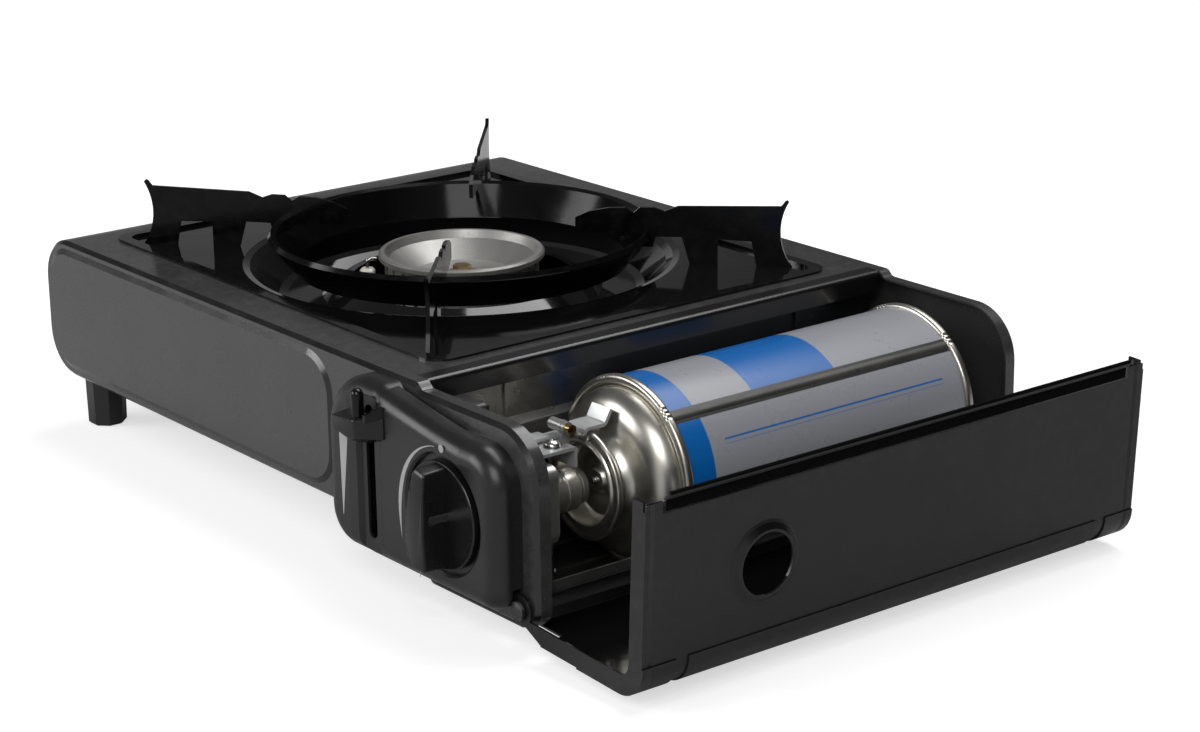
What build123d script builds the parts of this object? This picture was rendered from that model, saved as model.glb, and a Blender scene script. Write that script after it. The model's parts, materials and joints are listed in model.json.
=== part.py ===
"""Butane cassette stove: casing, drop-in tray, burner, trivet, gas train, lock, lid and cartridge.

The origin is the middle of the front left foot's sole. +X runs right along the control side, +Y runs
back and +Z is up. The lid is modelled open, the lock lever up, the gas knob at off.
"""
import os
from math import atan, cos, degrees, radians, sin, tan

from build123d import *

os.makedirs("parts", exist_ok=True)

# Casing ------------------------------------------------------------------------------------------
CASE_WIDTH = 331.0
CASE_DEPTH = 222.0
CASE_LEFT = -17.5
CASE_FRONT = -14.5
CASE_RIGHT = CASE_LEFT + CASE_WIDTH
CASE_BACK = CASE_FRONT + CASE_DEPTH
MIDDLE_Y = CASE_FRONT + CASE_DEPTH / 2
SHEET = 0.8
HOB_TOP = 79.2
HOB_RIGHT = CASE_LEFT + 263.5
HOB_EDGE_DROP = 8.0
UNDERSIDE = 22.5
TOP_LEFT_RADIUS = 18.0
BOTTOM_LEFT_RADIUS = 18.0
RIM_DEPTH = 6.0
RIM_RIGHT = CASE_RIGHT - 0.5
RIM_TOP = 76.8
RIM_BOTTOM = 9.0
RIM_RADIUS = 19.0
STEP_X = CASE_LEFT + 229.0
EMBOSS = 1.0
PANEL_X = CASE_LEFT + 108.0
PANEL_Z = 51.0
PANEL_LENGTH = 204.0
PANEL_HEIGHT = 46.0
PANEL_RADIUS = 13.0
PANEL_SLOPE = 2.2
RIM_CHAMFER = 1.5

# Tray and trivet, centred on the burner ----------------------------------------------------------
BURNER_X = CASE_LEFT + 138.0
BURNER_Y = CASE_FRONT + 110.0
TRAY_LENGTH = 226.0
TRAY_WIDTH = 186.0
TRAY_RIM = 4.0
TRAY_INNER_LENGTH = TRAY_LENGTH - 2 * TRAY_RIM
TRAY_INNER_WIDTH = TRAY_WIDTH - 2 * TRAY_RIM
TRAY_RADIUS = 6.5
TRAY_FLAT = 78.6
WELL_RADIUS = 85.5
WELL_FLOOR = 65.5
WELL_HOLE = 44.0
RING_TOP_RADIUS = 73.0
RING_FOOT_RADIUS = 65.5
RING_TOP = 90.4
RING_FOOT = 77.0
ARM_ANGLE = 41.0
ARM_SHEET = 1.5

# Compartment, cartridge and lid ------------------------------------------------------------------
SHIELD_X = CASE_LEFT + 257.0
PAN_FLOOR = 5.4
CAN_X = CASE_LEFT + 295.0
CAN_Z = 41.0
CAN_RADIUS = 33.2
SEAM_RADIUS = 34.5
COLLAR_FRONT = CASE_FRONT + 46.0
SHOULDER_SEAM = CASE_FRONT + 65.0
BASE_SEAM = CASE_FRONT + 201.5
CAN_WALL = 0.6
COLLAR_RADIUS = 20.0
PIN_X = CASE_LEFT + 323.3
PIN_Z = 15.8
PIN_RADIUS = 2.0
LID_SIDE = CASE_RIGHT + 1.2
LID_TOP = 78.6
LID_OPEN_ANGLE = 93.0
LID_OVERHANG = 1.8
LID_RADIUS = 11.0
LID_FLANGE = 6.5
LID_TAIL = 3.0
EAR_RADIUS = 5.6
CORNER_DEPTH = 8.0

# Controls ----------------------------------------------------------------------------------------
COVER_DEPTH = 11.0
COVER_FRONT = CASE_FRONT - COVER_DEPTH
COVER_LEFT = CASE_LEFT + 222.4
COVER_RIGHT = CASE_LEFT + 323.0
COVER_BOTTOM = 14.5
COVER_WALL = 2.6
COVER_ROLL = 7.0
COVER_TOP = 70.4
KNOB_RECESS = 2.2
HINGE_RELIEF = 4.4
KNOB_X = CASE_LEFT + 293.4
KNOB_Z = 42.9
KNOB_RADIUS = 18.8
RECESS_RADIUS = KNOB_RADIUS + 2.0
SPINDLE_RADIUS = 3.0
LEVER_X = CASE_LEFT + 249.4
LEVER_Z = 64.5
SLOT_BOTTOM = 21.6
SLOT_TOP = 70.0
SLOT_WIDTH = 5.0
RUNNING_GAP = 0.05
GAS_Z = 50.0
TUBE_ANGLE = -34.0


def front_plane(y):
    """Sketch plane facing the front at depth y, its x along +X and its y along +Z."""
    return Plane.XZ.offset(-y)


def side_plane(x):
    """Sketch plane facing right at x, its x along +Y and its y along +Z."""
    return Plane.YZ.offset(x)


def burner_plane(angle):
    """Upright plane through the burner axis, its x along the given direction and its y along +Z."""
    a = radians(angle)
    return Plane(origin=(BURNER_X, BURNER_Y, 0), x_dir=(cos(a), sin(a), 0), z_dir=(sin(a), -cos(a), 0))


def lid_plane(y):
    """Plane through the hinge axis that carries the closed lid's profile, turned to open."""
    a = radians(LID_OPEN_ANGLE)
    return Plane(origin=(PIN_X, y, PIN_Z), x_dir=(cos(a), 0, -sin(a)), z_dir=(0, -1, 0))


def can_points(points):
    """Turn (distance along Y, radius) pairs into sketch points beside the cartridge's axis."""
    return [(y, CAN_Z + radius) for y, radius in points]


def finish(part, label):
    """Label a finished piece and write its file."""
    part.label = label
    export_step(part, f"parts/{label}.step")


# Outline shared by the front and back plates: hob side, and lower set compartment side
PLATE_CORNERS = [
    (CASE_LEFT, UNDERSIDE),
    (CASE_LEFT, HOB_TOP),
    (HOB_RIGHT, HOB_TOP),
    (HOB_RIGHT + 2.4, RIM_TOP),
    (RIM_RIGHT, RIM_TOP),
    (RIM_RIGHT, RIM_BOTTOM),
    (STEP_X, RIM_BOTTOM),
    (STEP_X, UNDERSIDE),
]
PLATE_RADII = [BOTTOM_LEFT_RADIUS, TOP_LEFT_RADIUS, 2.6, 2.6, RIM_RADIUS, 8.0, 4.0, 4.0]

# Casing shell: one sheet wrapped over the top, down the left side and under ----------------------
with BuildPart() as casing_shell:
    with BuildSketch(front_plane(CASE_FRONT + RIM_DEPTH)):
        with BuildLine():
            FilletPolyline(
                (HOB_RIGHT - SHEET / 2, HOB_TOP - HOB_EDGE_DROP),
                (HOB_RIGHT - SHEET / 2, HOB_TOP - SHEET / 2),
                (CASE_LEFT + SHEET / 2, HOB_TOP - SHEET / 2),
                (CASE_LEFT + SHEET / 2, UNDERSIDE + SHEET / 2),
                (CASE_LEFT + 40, UNDERSIDE + SHEET / 2),
                radius=[1.5, TOP_LEFT_RADIUS - SHEET / 2, BOTTOM_LEFT_RADIUS - SHEET / 2],
            )
        trace(line_width=SHEET)
    extrude(amount=-(CASE_DEPTH - 2 * RIM_DEPTH))
    with BuildSketch(Plane.XY.offset(HOB_TOP - 3)):
        with Locations((BURNER_X, BURNER_Y)):
            RectangleRounded(TRAY_INNER_LENGTH + 1, TRAY_INNER_WIDTH + 1, TRAY_RADIUS + 0.5)
    extrude(amount=6, mode=Mode.SUBTRACT)
finish(casing_shell.part, "casing_shell")

# End plates: one pressing with a turned rim and a raised panel serves front and back -------------
with BuildPart() as plate_pressing:
    with BuildSketch(front_plane(CASE_FRONT + RIM_DEPTH)):
        with BuildLine():
            FilletPolyline(*PLATE_CORNERS, radius=PLATE_RADII, close=True)
        make_face()
    extrude(amount=RIM_DEPTH)
    chamfer(plate_pressing.faces().sort_by(Axis.Y)[0].edges(), RIM_CHAMFER)
    offset(amount=-SHEET, openings=plate_pressing.faces().sort_by(Axis.Y)[-1])
    with BuildSketch(front_plane(CASE_FRONT)):
        with Locations((PANEL_X, PANEL_Z)):
            RectangleRounded(
                PANEL_LENGTH + 2 * PANEL_SLOPE,
                PANEL_HEIGHT + 2 * PANEL_SLOPE,
                PANEL_RADIUS + PANEL_SLOPE,
            )
    extrude(amount=EMBOSS, taper=degrees(atan(PANEL_SLOPE / EMBOSS)))
    with BuildSketch(front_plane(CASE_FRONT + SHEET)):
        with Locations((PANEL_X, PANEL_Z)):
            RectangleRounded(PANEL_LENGTH - 2 * SHEET, PANEL_HEIGHT - 2 * SHEET, PANEL_RADIUS - SHEET)
    extrude(amount=EMBOSS, mode=Mode.SUBTRACT)
    with BuildSketch(front_plane(CASE_FRONT)):
        with Locations((PIN_X, PIN_Z)):
            Circle(PIN_RADIUS)
    extrude(amount=2, both=True, mode=Mode.SUBTRACT)

with BuildPart() as front_plate:
    add(plate_pressing.part)
    with BuildSketch(front_plane(CASE_FRONT)):
        with Locations((KNOB_X, KNOB_Z)):
            Circle(9)
        with Locations((LEVER_X, (SLOT_BOTTOM + SLOT_TOP) / 2)):
            SlotOverall(SLOT_TOP - SLOT_BOTTOM, 6, rotation=90)
    extrude(amount=2, both=True, mode=Mode.SUBTRACT)
finish(front_plate.part, "front_plate")

with BuildPart() as back_plate:
    add(plate_pressing.part.mirror(front_plane(MIDDLE_Y)))
finish(back_plate.part, "back_plate")

# Base plate: closes the burner bay, with two rows of air slots -----------------------------------
BASE_RIGHT = SHIELD_X
with BuildPart() as base_plate:
    with BuildSketch(Plane.XY.offset(UNDERSIDE + SHEET)):
        with Locations(((CASE_LEFT + 24 + BASE_RIGHT) / 2, MIDDLE_Y)):
            Rectangle(BASE_RIGHT - CASE_LEFT - 24, CASE_DEPTH - 2 * RIM_DEPTH)
        with Locations((BURNER_X, BURNER_Y)):
            with GridLocations(26, 110, 6, 2):
                Rectangle(6, 40, mode=Mode.SUBTRACT)
    extrude(amount=SHEET)
finish(base_plate.part, "base_plate")

# Drip tray: stepped rim, flat corners and a deep round well --------------------------------------
with BuildPart() as drip_tray:
    with BuildSketch(Plane.XY.offset(HOB_TOP)):
        with Locations((BURNER_X, BURNER_Y)):
            RectangleRounded(TRAY_LENGTH, TRAY_WIDTH, TRAY_RADIUS + 2.5)
            RectangleRounded(TRAY_INNER_LENGTH, TRAY_INNER_WIDTH, TRAY_RADIUS, mode=Mode.SUBTRACT)
    extrude(amount=SHEET)
    with BuildSketch(Plane.XY.offset(TRAY_FLAT - SHEET)):
        with Locations((BURNER_X, BURNER_Y)):
            RectangleRounded(TRAY_INNER_LENGTH, TRAY_INNER_WIDTH, TRAY_RADIUS)
            offset(amount=-SHEET, mode=Mode.SUBTRACT)
    extrude(amount=HOB_TOP + SHEET - TRAY_FLAT + SHEET)
    with BuildSketch(Plane.XY.offset(TRAY_FLAT - SHEET)):
        with Locations((BURNER_X, BURNER_Y)):
            RectangleRounded(TRAY_INNER_LENGTH - 1, TRAY_INNER_WIDTH - 1, TRAY_RADIUS - 0.5)
            Circle(WELL_RADIUS, mode=Mode.SUBTRACT)
    extrude(amount=SHEET)
    with BuildSketch(burner_plane(0)):
        with BuildLine():
            Polyline(
                (WELL_RADIUS + 0.5, TRAY_FLAT - SHEET / 2),
                (WELL_RADIUS - 2.5, TRAY_FLAT - SHEET / 2 - 0.6),
                (WELL_RADIUS - 5.0, TRAY_FLAT - SHEET / 2 - 2.6),
                (WELL_RADIUS - 13.5, WELL_FLOOR - SHEET / 2 + 1.0),
                (WELL_RADIUS - 17, WELL_FLOOR - SHEET / 2),
                (WELL_HOLE + 11, WELL_FLOOR - SHEET / 2),
                (WELL_HOLE + 3, WELL_FLOOR + 4.5),
                (WELL_HOLE, WELL_FLOOR + 4.5),
            )
        trace(line_width=SHEET)
    revolve(axis=Axis((BURNER_X, BURNER_Y, 0), (0, 0, 1)))
finish(drip_tray.part, "drip_tray")

# Trivet: a conical ring with a rolled edge, crossed by four arms slotted over it -----------------
RING_PROFILE = [
    (RING_FOOT_RADIUS, RING_FOOT),
    (RING_TOP_RADIUS - 0.6, RING_TOP - 1.2),
    (RING_TOP_RADIUS + 1.0, RING_TOP - 0.6),
    (RING_TOP_RADIUS + 1.9, RING_TOP - 1.9),
]
RING_SHEET = 1.2
with BuildPart() as support_ring:
    with BuildSketch(burner_plane(0)):
        with BuildLine():
            Polyline(*RING_PROFILE)
        trace(line_width=RING_SHEET)
    revolve(axis=Axis((BURNER_X, BURNER_Y, 0), (0, 0, 1)))
finish(support_ring.part, "support_ring")

with BuildPart() as support_arms:
    for arm_angle in (ARM_ANGLE, 180 - ARM_ANGLE, 180 + ARM_ANGLE, -ARM_ANGLE):
        with BuildSketch(burner_plane(arm_angle)):
            with BuildLine():
                Polyline(
                    (129.0, 104.2),
                    (128.4, 104.9),
                    (127.6, 104.6),
                    (126.0, 102.5),
                    (86.0, 101.3),
                    (80.6, 99.1),
                    (76.6, 100.5),
                    (71.2, 100.4),
                    (68.6, 98.1),
                    (65.4, 100.1),
                    (59.2, 99.9),
                    (51.4, 98.3),
                    (45.8, 95.7),
                    (45.8, 90.0),
                    (67.5, 88.6),
                    (71.0, 84.9),
                    (76.2, 84.9),
                    (77.4, 89.0),
                    (87.6, 89.2),
                    (90.6, TRAY_FLAT),
                    (101.4, TRAY_FLAT),
                    (101.4, 88.8),
                    (114.7, 88.4),
                    (116.6, TRAY_FLAT),
                    (130.4, TRAY_FLAT),
                )
                ThreePointArc((130.4, TRAY_FLAT), (125.9, 91.0), (129.0, 104.2))
            make_face()
        extrude(amount=ARM_SHEET / 2, both=True)
    with BuildSketch(burner_plane(0)):
        with BuildLine():
            Polyline(*RING_PROFILE)
        trace(line_width=RING_SHEET + 0.1)
    revolve(axis=Axis((BURNER_X, BURNER_Y, 0), (0, 0, 1)), mode=Mode.SUBTRACT)
finish(support_arms.part, "support_arms")

# Burner: cast cup with flame slits, brass core, bracket, mixing tube and jet ---------------------
CUP_RADIUS = 32.6
CUP_TOP = 81.0
NECK_RADIUS = 12.0
NECK_FOOT = 40.5
with BuildPart() as burner_cup:
    with BuildSketch(burner_plane(0)):
        with BuildLine():
            Polyline(
                (0, 70.1),
                (9.0, 70.1),
                (20.0, 71.4),
                (28.6, 78.0),
                (30.2, CUP_TOP),
                (31.8, CUP_TOP),
                (CUP_RADIUS, CUP_TOP - 0.8),
                (CUP_RADIUS, CUP_TOP - 2.4),
                (30.4, CUP_TOP - 2.8),
                (30.2, 64.5),
                (27.0, 61.5),
                (NECK_RADIUS, 58.0),
                (NECK_RADIUS, NECK_FOOT),
                (0, NECK_FOOT),
                close=True,
            )
        make_face()
    revolve(axis=Axis((BURNER_X, BURNER_Y, 0), (0, 0, 1)))
    with BuildSketch(Plane.XY.offset(68)):
        with Locations((BURNER_X, BURNER_Y)):
            with PolarLocations(30.3, 30):
                Rectangle(2.4, 1.8)
    extrude(amount=9, mode=Mode.SUBTRACT)
    with BuildSketch(burner_plane(TUBE_ANGLE + 90)):
        with Locations((0, GAS_Z)):
            Circle(8)
    extrude(amount=16)
finish(burner_cup.part, "burner_cup")

with BuildPart() as burner_core:
    with BuildSketch(Plane.XY.offset(70.1)):
        with Locations((BURNER_X, BURNER_Y)):
            Circle(6.5)
    extrude(amount=2.2)
    chamfer(burner_core.edges().sort_by(Axis.Z)[-1], 0.8)
    with BuildSketch(Plane.XY.offset(72.3)):
        with Locations((BURNER_X, BURNER_Y)):
            RegularPolygon(3.6, 6)
    extrude(amount=2.4)
finish(burner_core.part, "burner_core")

BASE_TOP = UNDERSIDE + 2 * SHEET
BRACKET_SHEET = 1.2
with BuildPart() as burner_bracket:
    with BuildSketch(front_plane(BURNER_Y - 10)):
        with BuildLine():
            FilletPolyline(
                (BURNER_X - 54, BASE_TOP + BRACKET_SHEET / 2),
                (BURNER_X - 38, BASE_TOP + BRACKET_SHEET / 2),
                (BURNER_X - 30, NECK_FOOT - BRACKET_SHEET / 2),
                (BURNER_X + 30, NECK_FOOT - BRACKET_SHEET / 2),
                (BURNER_X + 38, BASE_TOP + BRACKET_SHEET / 2),
                (BURNER_X + 54, BASE_TOP + BRACKET_SHEET / 2),
                radius=2.0,
            )
        trace(line_width=BRACKET_SHEET)
    extrude(amount=-20)
finish(burner_bracket.part, "burner_bracket")

TUBE_RADIUS = 9.0
TUBE_START = 16.0
TUBE_END = 96.0
with BuildPart() as mixing_tube:
    with BuildSketch(burner_plane(TUBE_ANGLE)):
        with BuildLine():
            Polyline(
                (TUBE_START, GAS_Z + TUBE_RADIUS - 0.8),
                (TUBE_START, GAS_Z + TUBE_RADIUS),
                (TUBE_START + 22, GAS_Z + TUBE_RADIUS),
                (TUBE_START + 40, GAS_Z + TUBE_RADIUS - 2.5),
                (TUBE_END - 14, GAS_Z + TUBE_RADIUS),
                (TUBE_END, GAS_Z + TUBE_RADIUS),
                (TUBE_END, GAS_Z + 3.05),
                (TUBE_END - 0.8, GAS_Z + 3.05),
                (TUBE_END - 0.8, GAS_Z + TUBE_RADIUS - 0.8),
                (TUBE_END - 14, GAS_Z + TUBE_RADIUS - 0.8),
                (TUBE_START + 40, GAS_Z + TUBE_RADIUS - 3.3),
                (TUBE_START + 22, GAS_Z + TUBE_RADIUS - 0.8),
                close=True,
            )
        make_face()
    tube_direction = (cos(radians(TUBE_ANGLE)), sin(radians(TUBE_ANGLE)), 0)
    revolve(axis=Axis((BURNER_X, BURNER_Y, GAS_Z), tube_direction))
    with BuildSketch(burner_plane(TUBE_ANGLE)):
        with Locations((TUBE_END - 8, GAS_Z)):
            Rectangle(7, 8)
    extrude(amount=TUBE_RADIUS + 1, both=True, mode=Mode.SUBTRACT)
finish(mixing_tube.part, "mixing_tube")

JET_END = TUBE_END + 9.0
with BuildPart() as gas_jet:
    with BuildSketch(burner_plane(TUBE_ANGLE)):
        with BuildLine():
            Polyline(
                (TUBE_END - 7, GAS_Z),
                (TUBE_END - 7, GAS_Z + 1.6),
                (TUBE_END - 5, GAS_Z + 3.0),
                (TUBE_END, GAS_Z + 3.0),
                (TUBE_END, GAS_Z + 5.0),
                (JET_END - 3, GAS_Z + 5.0),
                (JET_END - 3, GAS_Z + 3.6),
                (JET_END, GAS_Z + 3.6),
                (JET_END, GAS_Z),
                close=True,
            )
        make_face()
    revolve(axis=Axis((BURNER_X, BURNER_Y, GAS_Z), tube_direction))
finish(gas_jet.part, "gas_jet")

REGULATOR_LEFT = CASE_LEFT + 282.0
PIPE_RADIUS = 2.4
pipe_start = (BURNER_X + JET_END * tube_direction[0], BURNER_Y + JET_END * tube_direction[1], GAS_Z)
pipe_run_y = CASE_FRONT + 26.0
pipe_bend_x = pipe_start[0] + (pipe_run_y - pipe_start[1]) / tan(radians(TUBE_ANGLE))
with BuildPart() as gas_pipe:
    with BuildLine():
        FilletPolyline(
            pipe_start,
            (pipe_bend_x, pipe_run_y, GAS_Z),
            (REGULATOR_LEFT, pipe_run_y, GAS_Z),
            radius=22.0,
        )
    with BuildSketch(Plane(origin=pipe_start, z_dir=tube_direction)):
        Circle(PIPE_RADIUS)
        Circle(PIPE_RADIUS - 0.7, mode=Mode.SUBTRACT)
    sweep()
finish(gas_pipe.part, "gas_pipe")

# Spark electrode beside the cup, its piezo igniter and the lead between them ---------------------
ELECTRODE_X = CASE_LEFT + 121.6
ELECTRODE_Y = CASE_FRONT + 76.5
ELECTRODE_FOOT = 52.0
with BuildPart() as electrode_insulator:
    with BuildSketch(Plane.XY.offset(ELECTRODE_FOOT)):
        with Locations((ELECTRODE_X, ELECTRODE_Y)):
            Circle(3)
    extrude(amount=24)
    with BuildSketch(Plane.XY.offset(62)):
        with Locations((ELECTRODE_X, ELECTRODE_Y)):
            Circle(4.4)
    extrude(amount=3)
    chamfer(electrode_insulator.edges().group_by(Axis.Z)[-1], 0.8)
finish(electrode_insulator.part, "electrode_insulator")

with BuildPart() as electrode_wire:
    with BuildLine():
        FilletPolyline(
            (ELECTRODE_X, ELECTRODE_Y, 76),
            (ELECTRODE_X, ELECTRODE_Y, 79.5),
            (ELECTRODE_X + 1.6, ELECTRODE_Y + 3.2, 79.5),
            radius=1.4,
        )
    with BuildSketch(Plane.XY.offset(76)):
        with Locations((ELECTRODE_X, ELECTRODE_Y)):
            Circle(0.7)
    sweep()
finish(electrode_wire.part, "electrode_wire")

IGNITER_LEFT = CASE_LEFT + 263.5
LEAD_HOLE_Z = 54.0
with BuildPart() as igniter_unit:
    with BuildSketch(front_plane(CASE_FRONT + 1.5)):
        with Locations((IGNITER_LEFT + 8, 61)):
            RectangleRounded(16, 22, 2)
    extrude(amount=-17)
    with BuildSketch(front_plane(CASE_FRONT + SHEET)):
        with Locations((IGNITER_LEFT + 8, 61)):
            Circle(5)
    extrude(amount=-1)
finish(igniter_unit.part, "igniter_unit")

LEAD_RADIUS = 1.2
lead_points = [
    Vector(IGNITER_LEFT, CASE_FRONT + 13, LEAD_HOLE_Z),
    Vector(IGNITER_LEFT - 14, CASE_FRONT + 13, LEAD_HOLE_Z),
    Vector(IGNITER_LEFT - 66, CASE_FRONT + 16, 36),
    Vector(IGNITER_LEFT - 108, CASE_FRONT + 28, 29.5),
    Vector(IGNITER_LEFT - 136, CASE_FRONT + 52, 28.5),
    Vector(ELECTRODE_X, ELECTRODE_Y, 32),
    Vector(ELECTRODE_X, ELECTRODE_Y, ELECTRODE_FOOT),
]
lead_radii = []
for before, corner, after in zip(lead_points, lead_points[1:], lead_points[2:]):
    turn = radians((corner - before).get_angle(after - corner))
    lead_radii.append(0.45 * min((corner - before).length, (after - corner).length) / tan(turn / 2))
with BuildPart() as igniter_lead:
    with BuildLine():
        FilletPolyline(*lead_points, radius=lead_radii)
    with BuildSketch(Plane(origin=lead_points[0], z_dir=lead_points[1] - lead_points[0])):
        Circle(LEAD_RADIUS)
    sweep()
finish(igniter_lead.part, "igniter_lead")

# Heat shield between burner bay and compartment, with pressed creases ----------------------------
SHIELD_FRONT = CASE_FRONT + RIM_DEPTH + 0.2
SHIELD_LENGTH = CASE_DEPTH - 2 * RIM_DEPTH - 0.4
with BuildPart() as heat_shield:
    with BuildSketch(front_plane(SHIELD_FRONT)):
        with BuildLine():
            FilletPolyline(
                (SHIELD_X - 9, HOB_TOP - SHEET - SHEET / 2),
                (SHIELD_X + SHEET / 2, HOB_TOP - SHEET - SHEET / 2),
                (SHIELD_X + SHEET / 2, 56),
                (SHIELD_X + SHEET / 2 + 2, 53.5),
                (SHIELD_X + SHEET / 2 + 2, PAN_FLOOR + 3),
                radius=[1.2, 1.0, 1.0],
            )
        trace(line_width=SHEET)
    extrude(amount=-SHIELD_LENGTH)
    with BuildSketch(side_plane(SHIELD_X + SHEET)):
        with Locations((CASE_FRONT + 42, 66), (CASE_FRONT + 178, 66)):
            Rectangle(2.4, 18)
    extrude(amount=1.0, taper=20)
    with BuildSketch(side_plane(SHIELD_X - 3)):
        with Locations((CASE_FRONT + 27, GAS_Z)):
            Rectangle(13, 10)
        with Locations((CASE_FRONT + 13, LEAD_HOLE_Z)):
            Rectangle(7, 8)
        with Locations((CASE_FRONT + 27, 60)):
            Rectangle(16, 5)
    extrude(amount=8, mode=Mode.SUBTRACT)
finish(heat_shield.part, "heat_shield")

# Compartment pan: floor with two cartridge rails and a raised outer lip --------------------------
with BuildPart() as compartment_pan:
    with BuildSketch(front_plane(SHIELD_FRONT)):
        with BuildLine():
            FilletPolyline(
                (SHIELD_X + SHEET + 2.4, 20),
                (SHIELD_X + SHEET + 2.4, PAN_FLOOR - SHEET / 2),
                (CASE_LEFT + 314.5, PAN_FLOOR - SHEET / 2),
                (CASE_LEFT + 317.2, 10.8),
                (CASE_LEFT + 328, 21.5),
                (CASE_LEFT + 328, 25),
                radius=[2.5, 1.5, 4.0, 1.5],
            )
        trace(line_width=SHEET)
    extrude(amount=-SHIELD_LENGTH)
    with BuildSketch(Plane.XY.offset(PAN_FLOOR - 0.1)):
        with Locations((CAN_X - 15, CASE_FRONT + 118), (CAN_X + 13, CASE_FRONT + 118)):
            SlotOverall(150, 5, rotation=90)
    extrude(amount=1.1, taper=25)
finish(compartment_pan.part, "compartment_pan")

# Feet: two tall moulded ones under the hob side, two low pads under the pan ----------------------
REAR_FOOT_Y = CASE_BACK + CASE_FRONT
PAD_X = CASE_LEFT + 283.0
with BuildPart() as feet:
    for foot_y in (0, REAR_FOOT_Y):
        with BuildSketch(Plane.XY):
            with Locations((0, foot_y)):
                RegularPolygon(7.2, 8, major_radius=False, rotation=22.5)
        extrude(amount=UNDERSIDE + 3.2, taper=-1)
        chamfer(feet.faces().filter_by(Axis.Z).group_by(Axis.Z)[0].sort_by(Axis.Y)[-1].edges(), 0.8)
    with BuildSketch(Plane.XY):
        with Locations((PAD_X, CASE_FRONT + 34), (PAD_X, CASE_BACK - 34)):
            Circle(8)
    extrude(amount=PAN_FLOOR - SHEET)
    with BuildSketch(front_plane(CASE_FRONT)):
        with BuildLine():
            FilletPolyline(
                (CASE_LEFT - 2, UNDERSIDE + 60),
                (CASE_LEFT, UNDERSIDE + 60),
                (CASE_LEFT, UNDERSIDE),
                (CASE_LEFT + 60, UNDERSIDE),
                (CASE_LEFT + 60, UNDERSIDE + 60),
                radius=[0.5, BOTTOM_LEFT_RADIUS, 0.5],
            )
            Line((CASE_LEFT + 60, UNDERSIDE + 60), (CASE_LEFT - 2, UNDERSIDE + 60))
        make_face()
    extrude(amount=-CASE_DEPTH, mode=Mode.SUBTRACT)
finish(feet.part, "feet")

# Control cover: moulded shell with the lever's bevelled channel and slot and the knob's recess ----
COVER_CORNERS = [
    (COVER_LEFT, COVER_BOTTOM),
    (COVER_LEFT, HOB_TOP - 1.2),
    (COVER_LEFT + 33, HOB_TOP - 1.2),
    (COVER_LEFT + 44, COVER_TOP),
    (COVER_RIGHT, COVER_TOP),
    (COVER_RIGHT, COVER_BOTTOM),
]
COVER_RADII = [14.0, 22.0, 10.0, 10.0, 15.0, 9.0]
with BuildPart() as control_cover:
    with BuildSketch(front_plane(CASE_FRONT)):
        with BuildLine():
            FilletPolyline(*COVER_CORNERS, radius=COVER_RADII, close=True)
        make_face()
    extrude(amount=COVER_DEPTH)
    fillet(control_cover.faces().sort_by(Axis.Y)[0].edges(), radius=COVER_ROLL)
    with BuildSketch(front_plane(CASE_FRONT)):
        with BuildLine():
            FilletPolyline(*COVER_CORNERS, radius=COVER_RADII, close=True)
        make_face()
        offset(amount=-COVER_WALL)
    extrude(amount=COVER_DEPTH - COVER_WALL, mode=Mode.SUBTRACT)
    with BuildSketch(front_plane(COVER_FRONT)):
        with Locations((LEVER_X, COVER_BOTTOM + 24)):
            Rectangle(13, 72)
    extrude(amount=-1.6, taper=38, mode=Mode.SUBTRACT)
    with BuildSketch(front_plane(COVER_FRONT + COVER_WALL)):
        with Locations((KNOB_X, KNOB_Z)):
            Circle(RECESS_RADIUS + 1.5)
    extrude(amount=-2)
    with BuildSketch(front_plane(COVER_FRONT)):
        with Locations((KNOB_X, KNOB_Z)):
            Circle(RECESS_RADIUS)
    extrude(amount=-KNOB_RECESS, mode=Mode.SUBTRACT)
    recess_edges = control_cover.edges().filter_by(GeomType.CIRCLE)
    recess_edges = recess_edges.filter_by(lambda edge: abs(edge.radius - RECESS_RADIUS) < 0.01)
    chamfer(recess_edges.sort_by(Axis.Y)[0], 0.8)
    with BuildSketch(front_plane(CASE_FRONT)):
        with Locations((PIN_X, PIN_Z)):
            Circle(7.5)
    extrude(amount=HINGE_RELIEF, mode=Mode.SUBTRACT)
    with BuildSketch(front_plane(COVER_FRONT - 1)):
        with Locations((LEVER_X, (SLOT_BOTTOM + SLOT_TOP) / 2)):
            SlotOverall(SLOT_TOP - SLOT_BOTTOM, SLOT_WIDTH, rotation=90)
        with Locations((KNOB_X, KNOB_Z)):
            Circle(6.5)
    extrude(amount=-6, mode=Mode.SUBTRACT)
finish(control_cover.part, "control_cover")

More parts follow.
